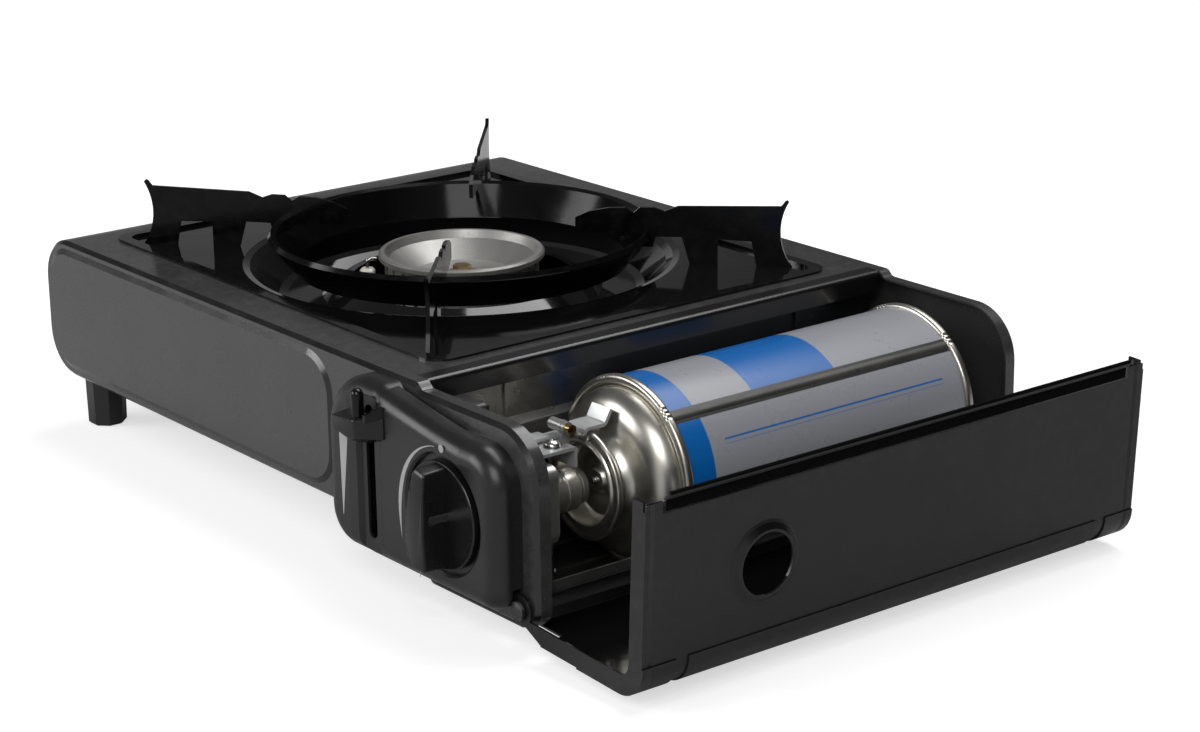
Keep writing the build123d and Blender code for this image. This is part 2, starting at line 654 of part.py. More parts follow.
# Knob: thin disc with a tall grip bar, on the valve spindle --------------------------------------
KNOB_BACK = COVER_FRONT + KNOB_RECESS - 0.4
KNOB_DISC = 2.4
GRIP_HEIGHT = 9.4
with BuildPart() as control_knob:
    with BuildSketch(front_plane(KNOB_BACK)):
        with Locations((KNOB_X, KNOB_Z)):
            Circle(KNOB_RADIUS)
    extrude(amount=KNOB_DISC)
    chamfer(control_knob.faces().sort_by(Axis.Y)[0].edges(), 0.6)
    with BuildSketch(front_plane(KNOB_BACK - KNOB_DISC + 0.5)):
        with BuildLine():
            FilletPolyline(
                (KNOB_X + 2.8, KNOB_Z - 17.2),
                (KNOB_X + 2.8, KNOB_Z + 17.2),
                (KNOB_X - 8.6, KNOB_Z + 15.0),
                (KNOB_X - 8.6, KNOB_Z - 15.0),
                radius=[1.0, 1.0, 9.0, 7.0],
                close=True,
            )
        make_face()
    extrude(amount=GRIP_HEIGHT + 0.5)
    chamfer(control_knob.faces().sort_by(Axis.Y)[0].edges(), 0.8)
    with BuildSketch(front_plane(KNOB_BACK)):
        with Locations((KNOB_X, KNOB_Z)):
            Circle(SPINDLE_RADIUS)
    extrude(amount=9, mode=Mode.SUBTRACT)
finish(control_knob.part, "control_knob")

SPINDLE_END = CASE_FRONT + 14.0
with BuildPart() as valve_spindle:
    with BuildSketch(front_plane(KNOB_BACK - 9)):
        with Locations((KNOB_X, KNOB_Z)):
            Circle(SPINDLE_RADIUS)
    extrude(amount=-(SPINDLE_END - KNOB_BACK + 9))
    chamfer(valve_spindle.faces().sort_by(Axis.Y)[-1].edges(), 0.5)
finish(valve_spindle.part, "valve_spindle")

# Lock lever: thumb piece in front of the cover, stem through the slot, slider behind the plate ----
LEVER_BACK = COVER_FRONT - 0.4
STEM_HEIGHT = 9.0
with BuildPart() as lock_lever:
    with BuildSketch(side_plane(LEVER_X - 10.5)):
        with BuildLine():
            FilletPolyline(
                (LEVER_BACK, LEVER_Z - 6.5),
                (LEVER_BACK, LEVER_Z + 6.5),
                (LEVER_BACK - 7.0, LEVER_Z + 4.0),
                (LEVER_BACK - 7.0, LEVER_Z - 2.0),
                (LEVER_BACK - 3.8, LEVER_Z - 6.5),
                radius=[1.0, 1.2, 1.8, 2.5, 1.0],
                close=True,
            )
        make_face()
    extrude(amount=20.5)
    chamfer(lock_lever.faces().filter_by(Axis.X).edges(), 0.6)
    with BuildSketch(front_plane(LEVER_BACK - 1)):
        with Locations((LEVER_X, LEVER_Z)):
            SlotOverall(STEM_HEIGHT, 3.2, rotation=90)
    extrude(amount=-(CASE_FRONT + 1.6 - LEVER_BACK + 1))
    with BuildSketch(Plane.XY.offset(LEVER_Z + 3)):
        with Locations((LEVER_X - 6.0, LEVER_BACK - 3.2)):
            Circle(2.2)
    extrude(amount=8.5)
    with BuildSketch(side_plane(LEVER_X - 1)):
        with BuildLine():
            Polyline(
                (LEVER_BACK - 0.2, LEVER_Z + 4),
                (LEVER_BACK - 0.2, LEVER_Z + 9.5),
                (LEVER_BACK - 5.0, LEVER_Z + 4),
                close=True,
            )
        make_face()
    extrude(amount=9)
finish(lock_lever.part, "lock_lever")

with BuildPart() as lock_slider:
    with BuildSketch(front_plane(CASE_FRONT + 1.6)):
        with Locations((LEVER_X, LEVER_Z)):
            RectangleRounded(9, 18, 1.5)
    extrude(amount=-1.5)
finish(lock_slider.part, "lock_slider")

# Lock hook and link: drawn forward as the lever goes down ----------------------------------------
HOOK_Z = 60.1
with BuildPart() as lock_hook:
    with BuildSketch(side_plane(CAN_X - 5)):
        with BuildLine():
            FilletPolyline(
                (CASE_FRONT + 33, HOOK_Z),
                (CASE_FRONT + 43.4, HOOK_Z),
                (CASE_FRONT + 45.4, HOOK_Z + 2.1),
                (CASE_FRONT + 53, HOOK_Z + 2.1),
                (CASE_FRONT + 55.8, HOOK_Z + 7.0),
                radius=[1.2, 1.2, 1.5],
            )
        trace(line_width=1.2)
    extrude(amount=10)
    with BuildSketch(Plane.XY.offset(HOOK_Z - 1)):
        with Locations((CAN_X + 2.5, CASE_FRONT + 38.5)):
            Rectangle(6, 12)
    extrude(amount=4, mode=Mode.SUBTRACT)
finish(lock_hook.part, "lock_hook")

with BuildPart() as lock_link:
    with BuildSketch(Plane.XY.offset(HOOK_Z - 0.6)):
        with Locations((CAN_X - 3, CASE_FRONT + 30)):
            Rectangle(4, 6)
        with Locations(((LEVER_X + CAN_X - 1) / 2, CASE_FRONT + 29)):
            Rectangle(CAN_X - 1 - LEVER_X, 4)
    extrude(amount=1.2)
finish(lock_link.part, "lock_link")

# Gas regulator on its plated bracket -------------------------------------------------------------
NOSE_RADIUS = 5.0
NOSE_END = CASE_FRONT + 41.5
with BuildPart() as regulator_body:
    with BuildSketch(front_plane(CASE_FRONT + 2.0)):
        with Locations((CAN_X, CAN_Z)):
            RectangleRounded(26, 28, 4)
    extrude(amount=-26)
    chamfer(regulator_body.faces().sort_by(Axis.Y)[-1].edges(), 1.5)
    with BuildSketch(front_plane(CASE_FRONT + 27)):
        with Locations((CAN_X, CAN_Z)):
            Circle(NOSE_RADIUS)
    extrude(amount=-(NOSE_END - CASE_FRONT - 27))
    with BuildSketch(front_plane(CASE_FRONT + 2.0)):
        with Locations((KNOB_X, KNOB_Z)):
            Circle(SPINDLE_RADIUS + RUNNING_GAP)
    extrude(amount=-13, mode=Mode.SUBTRACT)
finish(regulator_body.part, "regulator_body")

with BuildPart() as regulator_nut:
    with BuildSketch(front_plane(NOSE_END)):
        with Locations((CAN_X, CAN_Z)):
            Circle(6.4)
            Circle(2.7, mode=Mode.SUBTRACT)
    extrude(amount=-3.6)
    chamfer(regulator_nut.faces().sort_by(Axis.Y)[-1].edges().sort_by(SortBy.RADIUS)[-1], 0.6)
finish(regulator_nut.part, "regulator_nut")

with BuildPart() as inlet_nozzle:
    with BuildSketch(front_plane(NOSE_END)):
        with Locations((CAN_X, CAN_Z)):
            Circle(2.6)
            Circle(0.8, mode=Mode.SUBTRACT)
    extrude(amount=-3.7)
    chamfer(inlet_nozzle.faces().sort_by(Axis.Y)[-1].edges().sort_by(SortBy.RADIUS)[-1], 0.6)
finish(inlet_nozzle.part, "inlet_nozzle")

BRACKET_TOP = 58.6
with BuildPart() as regulator_bracket:
    with BuildSketch(side_plane(CAN_X - 12.6)):
        with BuildLine():
            FilletPolyline(
                (CASE_FRONT + 24, BRACKET_TOP - 0.6),
                (CASE_FRONT + 37.6, BRACKET_TOP - 0.6),
                (CASE_FRONT + 37.6, PAN_FLOOR + 0.6),
                (CASE_FRONT + 30, PAN_FLOOR + 0.6),
                radius=[1.2, 1.2],
            )
        trace(line_width=1.2)
    extrude(amount=21)
    with BuildSketch(front_plane(CASE_FRONT + 36)):
        with Locations((CAN_X, CAN_Z)):
            Circle(NOSE_RADIUS + 0.1)
        with Locations((CAN_X, 19)):
            RectangleRounded(12, 12, 3)
    extrude(amount=-4, mode=Mode.SUBTRACT)
finish(regulator_bracket.part, "regulator_bracket")

RELIEF_Y = CASE_FRONT + 37.2
RELIEF_Z = 64.2
RELIEF_LEFT = CAN_X - 4.0
RELIEF_LENGTH = 8.6
with BuildPart() as relief_valve:
    with BuildSketch(side_plane(RELIEF_LEFT)):
        with Locations((RELIEF_Y, RELIEF_Z)):
            Circle(2.1)
    extrude(amount=RELIEF_LENGTH)
    with BuildSketch(side_plane(RELIEF_LEFT + RELIEF_LENGTH - 3)):
        with Locations((RELIEF_Y, RELIEF_Z)):
            Circle(2.4)
    extrude(amount=1.4)
    with BuildSketch(Plane.XY.offset(BRACKET_TOP)):
        with Locations((CAN_X + 2.6, RELIEF_Y - 0.4)):
            Rectangle(2.6, 3.0)
    extrude(amount=4)
finish(relief_valve.part, "relief_valve")

with BuildPart() as relief_tip:
    with BuildSketch(side_plane(RELIEF_LEFT + RELIEF_LENGTH)):
        with Locations((RELIEF_Y, RELIEF_Z)):
            Circle(1.8)
            Circle(0.8, mode=Mode.SUBTRACT)
    extrude(amount=2.4)
finish(relief_tip.part, "relief_tip")

# Screws and hinge pins ---------------------------------------------------------------------------
with BuildPart() as screws:
    with BuildSketch(Plane.XY.offset(BRACKET_TOP)):
        with Locations((CAN_X + 3.3, CASE_FRONT + 31.5)):
            Circle(2.6)
    extrude(amount=1.8)
    with BuildSketch(Plane.XY.offset(BASE_TOP + BRACKET_SHEET)):
        with Locations((BURNER_X - 48, BURNER_Y), (BURNER_X + 48, BURNER_Y)):
            Circle(2.6)
    extrude(amount=1.8)
    chamfer(screws.faces().filter_by(lambda f: f.normal_at().Z > 0.9).edges(), 0.8)
finish(screws.part, "screws")

with BuildPart() as hinge_pins:
    for head, along in ((CASE_FRONT - 3.6, -1), (CASE_BACK + 3.6, 1)):
        with BuildSketch(front_plane(head)):
            with Locations((PIN_X, PIN_Z)):
                Circle(3.4)
        extrude(amount=1.2 * along)
        with BuildSketch(front_plane(head)):
            with Locations((PIN_X, PIN_Z)):
                Circle(PIN_RADIUS)
        extrude(amount=5.4 * along)
finish(hinge_pins.part, "hinge_pins")

# Lid: bent sheet with raised bend pads, end flanges, ears on the pins, a lip and a dished peephole ----
LID_START = CASE_FRONT - LID_OVERHANG
LID_LENGTH = CASE_DEPTH + 2 * LID_OVERHANG
SIDE_U = LID_SIDE - SHEET / 2 - PIN_X
TOP_V = LID_TOP - SHEET / 2 - PIN_Z
LIP_U = HOB_RIGHT + 1.0 - PIN_X
PAD_LENGTH = 14.0
PAD_GAP = 5.0
PAD_REACH = 11.5
PEEPHOLE_U = -27.0
PEEPHOLE_Y = CASE_FRONT + 48.0
with BuildPart() as lid_panel:
    with BuildSketch(lid_plane(LID_START)):
        with BuildLine():
            FilletPolyline(
                (SIDE_U, -LID_TAIL),
                (SIDE_U, TOP_V),
                (LIP_U, TOP_V),
                (LIP_U - 1.4, TOP_V + 2),
                (LIP_U - 2.8, TOP_V + 2),
                radius=[LID_RADIUS - SHEET / 2, 1.0, 1.0],
            )
        trace(line_width=SHEET)
    extrude(amount=-LID_LENGTH)
    for pad_y, pad_length in (
        (LID_START, PAD_LENGTH),
        (LID_START + PAD_LENGTH + PAD_GAP, LID_LENGTH - 2 * (PAD_LENGTH + PAD_GAP)),
        (LID_START + LID_LENGTH - PAD_LENGTH, PAD_LENGTH),
    ):
        with BuildSketch(lid_plane(pad_y)):
            with BuildLine():
                FilletPolyline(
                    (SIDE_U + SHEET / 2 + 0.25, 30),
                    (SIDE_U + SHEET / 2 + 0.25, TOP_V + SHEET / 2 + 0.25),
                    (SIDE_U - PAD_REACH, TOP_V + SHEET / 2 + 0.25),
                    radius=LID_RADIUS + 0.25,
                )
            trace(line_width=0.6)
        extrude(amount=-pad_length)
    for flange_y in (LID_START, CASE_BACK + LID_OVERHANG - SHEET):
        with BuildSketch(lid_plane(flange_y)):
            with BuildLine():
                FilletPolyline(
                    (SIDE_U + SHEET / 2 - LID_FLANGE / 2, -LID_TAIL),
                    (SIDE_U + SHEET / 2 - LID_FLANGE / 2, TOP_V + SHEET / 2 - LID_FLANGE / 2),
                    (LIP_U, TOP_V + SHEET / 2 - LID_FLANGE / 2),
                    radius=LID_RADIUS - LID_FLANGE / 2,
                )
            trace(line_width=LID_FLANGE)
            Circle(EAR_RADIUS)
            Circle(PIN_RADIUS + RUNNING_GAP, mode=Mode.SUBTRACT)
        extrude(amount=-SHEET)
    for corner_y in (LID_START - 1, CASE_BACK - CORNER_DEPTH):
        with BuildSketch(lid_plane(corner_y)):
            with BuildLine():
                Polyline(
                    (EAR_RADIUS - 1.2, -EAR_RADIUS - 1),
                    (EAR_RADIUS - 1.2, 1.6),
                    (SIDE_U, 11.0),
                    (SIDE_U + 3, 11.0),
                    (SIDE_U + 3, -EAR_RADIUS - 1),
                    close=True,
                )
            make_face()
        extrude(amount=-(CORNER_DEPTH + LID_OVERHANG + 1), mode=Mode.SUBTRACT)
    for notch_y in (LID_START - 1, CASE_BACK - RIM_DEPTH):
        with BuildSketch(lid_plane(notch_y)):
            with Locations((LIP_U - 1.5, TOP_V + 2)):
                Rectangle(9, 6)
        extrude(amount=-(RIM_DEPTH + LID_OVERHANG + 1), mode=Mode.SUBTRACT)
    peephole_plane = Plane(
        origin=lid_plane(PEEPHOLE_Y).from_local_coords((PEEPHOLE_U, TOP_V, 0)),
        x_dir=(0, 1, 0),
        z_dir=lid_plane(0).y_dir,
    )
    with BuildSketch(peephole_plane):
        Circle(14.6)
    extrude(amount=2, both=True, mode=Mode.SUBTRACT)
    with BuildSketch(Plane(origin=peephole_plane.origin, x_dir=(0, 1, 0), z_dir=-lid_plane(0).x_dir)):
        with BuildLine():
            Polyline((15.0, 0.2), (13.4, -0.4), (11.6, -1.8), (10.8, -1.8))
        trace(line_width=SHEET)
    revolve(axis=Axis(peephole_plane.origin, peephole_plane.z_dir))
finish(lid_panel.part, "lid_panel")

# Cartridge: tinplate body with seams, drawn shoulder, notched valve cup, valve and base ------------
CAN_AXIS = Axis((CAN_X, 0, CAN_Z), (0, 1, 0))
SHOULDER_PROFILE = [
    (COLLAR_FRONT + 5.5, 14.9),
    (COLLAR_FRONT + 8.0, 16.6),
    (COLLAR_FRONT + 11.0, 23.0),
    (COLLAR_FRONT + 14.5, 29.0),
    (SHOULDER_SEAM + 0.2, 32.2),
]
CUP_PROFILE = [
    (COLLAR_FRONT + 0.4, 19.8),
    (COLLAR_FRONT + 0.4, 15.2),
    (COLLAR_FRONT + 5.2, 14.2),
    (COLLAR_FRONT + 8.2, 12.6),
    (COLLAR_FRONT + 8.2, 4.6),
    (COLLAR_FRONT + 6.4, 1.4),
]
BASE_PROFILE = [
    (BASE_SEAM - 2.6, 32.2),
    (BASE_SEAM - 5.5, 24.0),
    (BASE_SEAM - 7.0, 12.0),
    (BASE_SEAM - 7.4, 0.3),
]


with BuildPart() as can_body:
    with BuildSketch(side_plane(CAN_X)):
        with Locations(((SHOULDER_SEAM + BASE_SEAM) / 2, CAN_Z + CAN_RADIUS - CAN_WALL / 2)):
            Rectangle(BASE_SEAM - SHOULDER_SEAM - 6.4, CAN_WALL)
    revolve(axis=CAN_AXIS)
finish(can_body.part, "can_body")

with BuildPart() as can_shoulder:
    with BuildSketch(side_plane(CAN_X)):
        with BuildLine():
            Polyline(*can_points(SHOULDER_PROFILE))
        trace(line_width=CAN_WALL)
        with Locations((SHOULDER_SEAM + 1.6, CAN_Z + SEAM_RADIUS - 1.3)):
            Rectangle(3.2, 2.6)
    revolve(axis=CAN_AXIS)
finish(can_shoulder.part, "can_shoulder")

with BuildPart() as valve_cup:
    with BuildSketch(side_plane(CAN_X)):
        with BuildLine():
            Polyline(*can_points(CUP_PROFILE))
        trace(line_width=0.7)
    revolve(axis=CAN_AXIS)
    with BuildSketch(front_plane(COLLAR_FRONT - 1)):
        with Locations((CAN_X, CAN_Z + COLLAR_RADIUS)):
            Rectangle(8, 7.6)
    extrude(amount=-3.4, mode=Mode.SUBTRACT)
finish(valve_cup.part, "valve_cup")

with BuildPart() as can_valve:
    with BuildSketch(front_plane(COLLAR_FRONT + 4.3)):
        with Locations((CAN_X, CAN_Z)):
            Circle(1.4)
    extrude(amount=-14)
    with BuildSketch(front_plane(COLLAR_FRONT + 8.8)):
        with Locations((CAN_X, CAN_Z)):
            Circle(4.5)
    extrude(amount=-12)
finish(can_valve.part, "can_valve")

with BuildPart() as can_base:
    with BuildSketch(side_plane(CAN_X)):
        with BuildLine():
            Polyline(*can_points(BASE_PROFILE))
        trace(line_width=CAN_WALL)
        with Locations((BASE_SEAM - 1.6, CAN_Z + SEAM_RADIUS - 1.3)):
            Rectangle(3.2, 2.6)
    revolve(axis=CAN_AXIS)
finish(can_base.part, "can_base")
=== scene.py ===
"""Looks of a butane cassette stove: finishes, pressed and lathed meshes, and a plain studio round it.

Sizes are in millimetres in the part's own frame, and become metres where a mesh is made.
"""
import json
import logging
import math
from collections.abc import Callable, Sequence
from dataclasses import dataclass
from enum import Enum

import bmesh
import bpy
from mathutils import Matrix, Vector

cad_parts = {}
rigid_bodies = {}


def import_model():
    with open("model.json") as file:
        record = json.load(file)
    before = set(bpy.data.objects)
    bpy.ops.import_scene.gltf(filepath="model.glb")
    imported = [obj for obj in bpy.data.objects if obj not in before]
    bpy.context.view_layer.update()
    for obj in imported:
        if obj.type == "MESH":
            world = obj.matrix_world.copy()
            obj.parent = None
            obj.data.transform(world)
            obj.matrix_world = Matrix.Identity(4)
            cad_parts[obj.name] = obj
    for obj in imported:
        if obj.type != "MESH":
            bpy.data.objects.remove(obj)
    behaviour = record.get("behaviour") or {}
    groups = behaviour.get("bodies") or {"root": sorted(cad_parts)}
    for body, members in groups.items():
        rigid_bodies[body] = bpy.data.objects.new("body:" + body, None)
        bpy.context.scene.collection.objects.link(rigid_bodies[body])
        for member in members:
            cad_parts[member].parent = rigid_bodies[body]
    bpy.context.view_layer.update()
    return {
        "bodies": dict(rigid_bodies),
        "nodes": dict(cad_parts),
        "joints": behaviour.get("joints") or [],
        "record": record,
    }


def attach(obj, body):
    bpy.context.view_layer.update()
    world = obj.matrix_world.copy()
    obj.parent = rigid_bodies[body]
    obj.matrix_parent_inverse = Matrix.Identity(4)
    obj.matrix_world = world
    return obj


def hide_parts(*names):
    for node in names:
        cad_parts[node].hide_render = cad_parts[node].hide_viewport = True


MM = 0.001
LOG = logging.getLogger("stove")

# Noise as (cells per metre, detail), with the range of it that counts.
CLOUDS = (35.0, 4.0)
CLOUD_RANGE = (0.35, 0.65)
SMUDGES = (90.0, 5.0)
SMUDGE_RANGE = (0.3, 0.7)
# Bare metal: the pointiness of an edge, and the noise that breaks it up.
BARE_EDGES = (0.53, 0.60)
BARE_PATCHES = (0.45, 0.7)
BARE_SCALE = 260.0
# Details of the grains. The ratios and depths go with a finish's own grain scale and depth.
SPANGLE_RANGE = (0.2, 0.8, 0.0, 0.55)
GRAIN_DETAIL = 2.0
PEEL_RATIO = 9
PEEL_DEPTH = 6
PIT_RATIO = 0.8
PIT_RANGE = (0.05, 0.4)
PIT_DEPTH = 2
WAVE_RATIO = 30
WAVE_DEPTH = 5
# Meshes: degrees, millimetres and steps.
BEVEL_ANGLE = 40.0
WELD_DISTANCE = 0.0005
CURVE_STEPS = 5
SMALL_STEPS = 48
NUT_STEPS = 96
ROUND_STEPS = 128
CUP_STEPS = 144
RING_STEPS = 360

Colour = tuple[float, float, float]
Point2 = tuple[float, float]
Point3 = tuple[float, float, float]
Points = tuple[Point2, ...]
Place = Callable[[float, float, float], Point3]
Socket = bpy.types.NodeSocket
Mesh = bmesh.types.BMesh

# Where the gas line runs, in x and z, and the knob's centre on the front.
GAS_AXIS: Point2 = (277.5, 41.0)
KNOB_CENTRE: Point2 = (275.9, 42.9)


class Grain(Enum):
    """Surface structures that a finish may have."""

    ORANGE_PEEL = "orange_peel"
    ENAMEL = "enamel"
    BRUSHED = "brushed"
    CAST = "cast"
    SPANGLE = "spangle"
    MOULDED = "moulded"
    DRAWN = "drawn"
    GLAZED = "glazed"


class NodeBench:
    """Adds and links nodes of any tree."""

    tree: bpy.types.NodeTree
    place: Socket

    def add(self, kind: str) -> bpy.types.Node:
        """Adds a node of the given type name."""
        return self.tree.nodes.new(kind)

    def link(self, source: Socket, target: Socket) -> None:
        """Joins two sockets."""
        self.tree.links.new(source, target)

    def stretched(self, stretch: Point3) -> Socket:
        """Object coordinates multiplied along each axis.

        Args:
            stretch: The factor for x, y and z.

        Returns:
            The scaled coordinate socket.
        """
        mapping = self.add("ShaderNodeMapping")
        mapping.inputs["Scale"].default_value = stretch
        self.link(self.place, mapping.inputs["Vector"])
        return mapping.outputs["Vector"]

    def noise(self, scale: float, detail: float = 3.0, stretch: Point3 = (1, 1, 1)) -> Socket:
        """Cloudy noise from 0 to 1.

        Args:
            scale: Noise cells per metre.
            detail: Number of finer layers.
            stretch: Factors on the coordinates, for grain that runs one way.

        Returns:
            The noise value socket.
        """
        node = self.add("ShaderNodeTexNoise")
        node.inputs["Scale"].default_value = scale
        node.inputs["Detail"].default_value = detail
        self.link(self.stretched(stretch), node.inputs["Vector"])
        return node.outputs["Fac"]

    def cells(self, scale: float, output: str = "Distance") -> Socket:
        """Voronoi cells, used for spangle and pits.

        Args:
            scale: Cells per metre.
            output: Name of the output to return.

        Returns:
            The chosen output socket.
        """
        node = self.add("ShaderNodeTexVoronoi")
        node.inputs["Scale"].default_value = scale
        self.link(self.place, node.inputs["Vector"])
        return node.outputs[output]

    def ranged(self, value: Socket, low: float, high: float,
               out_low: float = 0.0, out_high: float = 1.0) -> Socket:
        """Maps a value from one range to another, clamped.

        Args:
            value: The value to map.
            low: Input that gives out_low.
            high: Input that gives out_high.
            out_low: Output at low.
            out_high: Output at high.

        Returns:
            The mapped value socket.
        """
        node = self.add("ShaderNodeMapRange")
        node.inputs["From Min"].default_value = low
        node.inputs["From Max"].default_value = high
        node.inputs["To Min"].default_value = out_low
        node.inputs["To Max"].default_value = out_high
        self.link(value, node.inputs["Value"])
        return node.outputs["Result"]

    def times(self, a: Socket, b: Socket | float) -> Socket:
        """The product of two values."""
        return self.maths("MULTIPLY", a, b)

    def maths(self, operation: str, a: Socket, b: Socket | float) -> Socket:
        """One arithmetic step.

        Args:
            operation: Blender's name of the operation.
            a: First value.
            b: Second value, a socket or a number.

        Returns:
            The result socket.
        """
        node = self.add("ShaderNodeMath")
        node.operation = operation
        self.link(a, node.inputs[0])
        if isinstance(b, (int, float)):
            node.inputs[1].default_value = b
        else:
            self.link(b, node.inputs[1])
        return node.outputs[0]

    def mixed(self, share: Socket, first: Colour | Socket, second: Colour | Socket) -> Socket:
        """Mixes two colours.

        Args:
            share: How much of the second colour shows.
            first: The ground colour.
            second: The colour laid over it.

        Returns:
            The mixed colour socket.
        """
        node = self.add("ShaderNodeMix")
        node.data_type = "RGBA"
        self.link(share, node.inputs["Factor"])
        for value, socket in ((first, node.inputs[6]), (second, node.inputs[7])):
            if isinstance(value, tuple):
                socket.default_value = (*value, 1.0)
            else:
                self.link(value, socket)
        return node.outputs[2]

    def swapped(self, share: Socket, first: Socket, second: float) -> Socket:
        """Goes from one value to another.

        Args:
            share: How much of the second value counts.
            first: The value where the share is 0.
            second: The value where the share is 1.

        Returns:
            The value between them.
        """
        node = self.add("ShaderNodeMix")
        self.link(share, node.inputs["Factor"])
        self.link(first, node.inputs[2])
        node.inputs[3].default_value = second
        return node.outputs[0]

    def part(self, vector: Socket, index: int) -> Socket:
        """One component of a vector.

        Args:
            vector: The vector to take apart.
            index: 0 for x, 1 for y and 2 for z.

        Returns:
            The component's socket.
        """
        node = self.add("ShaderNodeSeparateXYZ")
        self.link(vector, node.inputs[0])
        return node.outputs[index]

    def axis(self, index: int) -> Socket:
        """One coordinate of the place, 0 for x, 1 for y and 2 for z."""
        return self.part(self.place, index)

    def window(self, value: Socket, low: float, high: float, soft: float) -> Socket:
        """A value of 1 between two limits and 0 outside them.

        Args:
            value: The value to test.
            low: Lower limit.
            high: Upper limit.
            soft: Width of each edge.

        Returns:
            The window's socket.
        """
        rise = self.ranged(value, low, low + soft)
        fall = self.ranged(value, high - soft, high, 1.0, 0.0)
        return self.times(rise, fall)


class WorldBench(NodeBench):
    """Nodes of a world that is white to the camera and made up of directions to everything else."""

    def __init__(self, name: str) -> None:
        """Starts the world.

        Args:
            name: The world's name.
        """
        self.world = bpy.data.worlds.new(name)
        self.world.use_nodes = True
        self.tree = self.world.node_tree
        self.tree.nodes.clear()
        seen = self.add("ShaderNodeBackground")
        self.felt = self.add("ShaderNodeBackground")
        for background in (seen, self.felt):
            background.inputs["Color"].default_value = (1.0, 1.0, 1.0, 1.0)
        mix = self.add("ShaderNodeMixShader")
        self.link(self.add("ShaderNodeLightPath").outputs["Is Camera Ray"], mix.inputs[0])
        self.link(self.felt.outputs[0], mix.inputs[1])
        self.link(seen.outputs[0], mix.inputs[2])
        self.link(mix.outputs[0], self.add("ShaderNodeOutputWorld").inputs["Surface"])
        self.place = self.add("ShaderNodeTexCoord").outputs["Generated"]

    def facing(self, azimuth: float) -> Socket:
        """How far a direction lies to the left of an azimuth, as a sine.

        Args:
            azimuth: Degrees from +X towards +Y.

        Returns:
            The sine's socket.
        """
        turn = math.radians(azimuth)
        node = self.add("ShaderNodeVectorMath")
        node.operation = "DOT_PRODUCT"
        node.inputs[1].default_value = (-math.sin(turn), math.cos(turn), 0.0)
        self.link(self.place, node.inputs[0])
        return node.outputs["Value"]


class ShaderBench(NodeBench):
    """Nodes of one material."""

    def __init__(self, name: str) -> None:
        """Starts a material with one principled shader.

        Args:
            name: The material's name.
        """
        self.material = bpy.data.materials.new(name)
        self.material.use_nodes = True
        self.tree = self.material.node_tree
        self.tree.nodes.clear()
        self.shader = self.add("ShaderNodeBsdfPrincipled")
        self.link(self.shader.outputs["BSDF"], self.add("ShaderNodeOutputMaterial").inputs["Surface"])
        coordinates = self.add("ShaderNodeTexCoord")
        self.place = coordinates.outputs["Object"]
        self.facet = coordinates.outputs["Normal"]

    def turned(self, index: int) -> Socket:
        """One component of the face's direction on the object, 0 for x, 1 for y and 2 for z."""
        return self.part(self.facet, index)

    def along(self, index: int) -> Socket:
        """One coordinate of the place in millimetres."""
        return self.times(self.axis(index), 1 / MM)

    def bump(self, height: Socket, depth_mm: float, under: Socket | None = None) -> Socket:
        """Turns a height into a tilted normal.

        Args:
            height: Height from 0 to 1.
            depth_mm: What a height of 1 measures.
            under: A normal to lay this one over.

        Returns:
            The normal socket, which is also joined to the shader.
        """
        node = self.add("ShaderNodeBump")
        node.inputs["Strength"].default_value = 1.0
        node.inputs["Distance"].default_value = depth_mm * MM
        self.link(height, node.inputs["Height"])
        if under is not None:
            self.link(under, node.inputs["Normal"])
        self.link(node.outputs["Normal"], self.shader.inputs["Normal"])
        return node.outputs["Normal"]


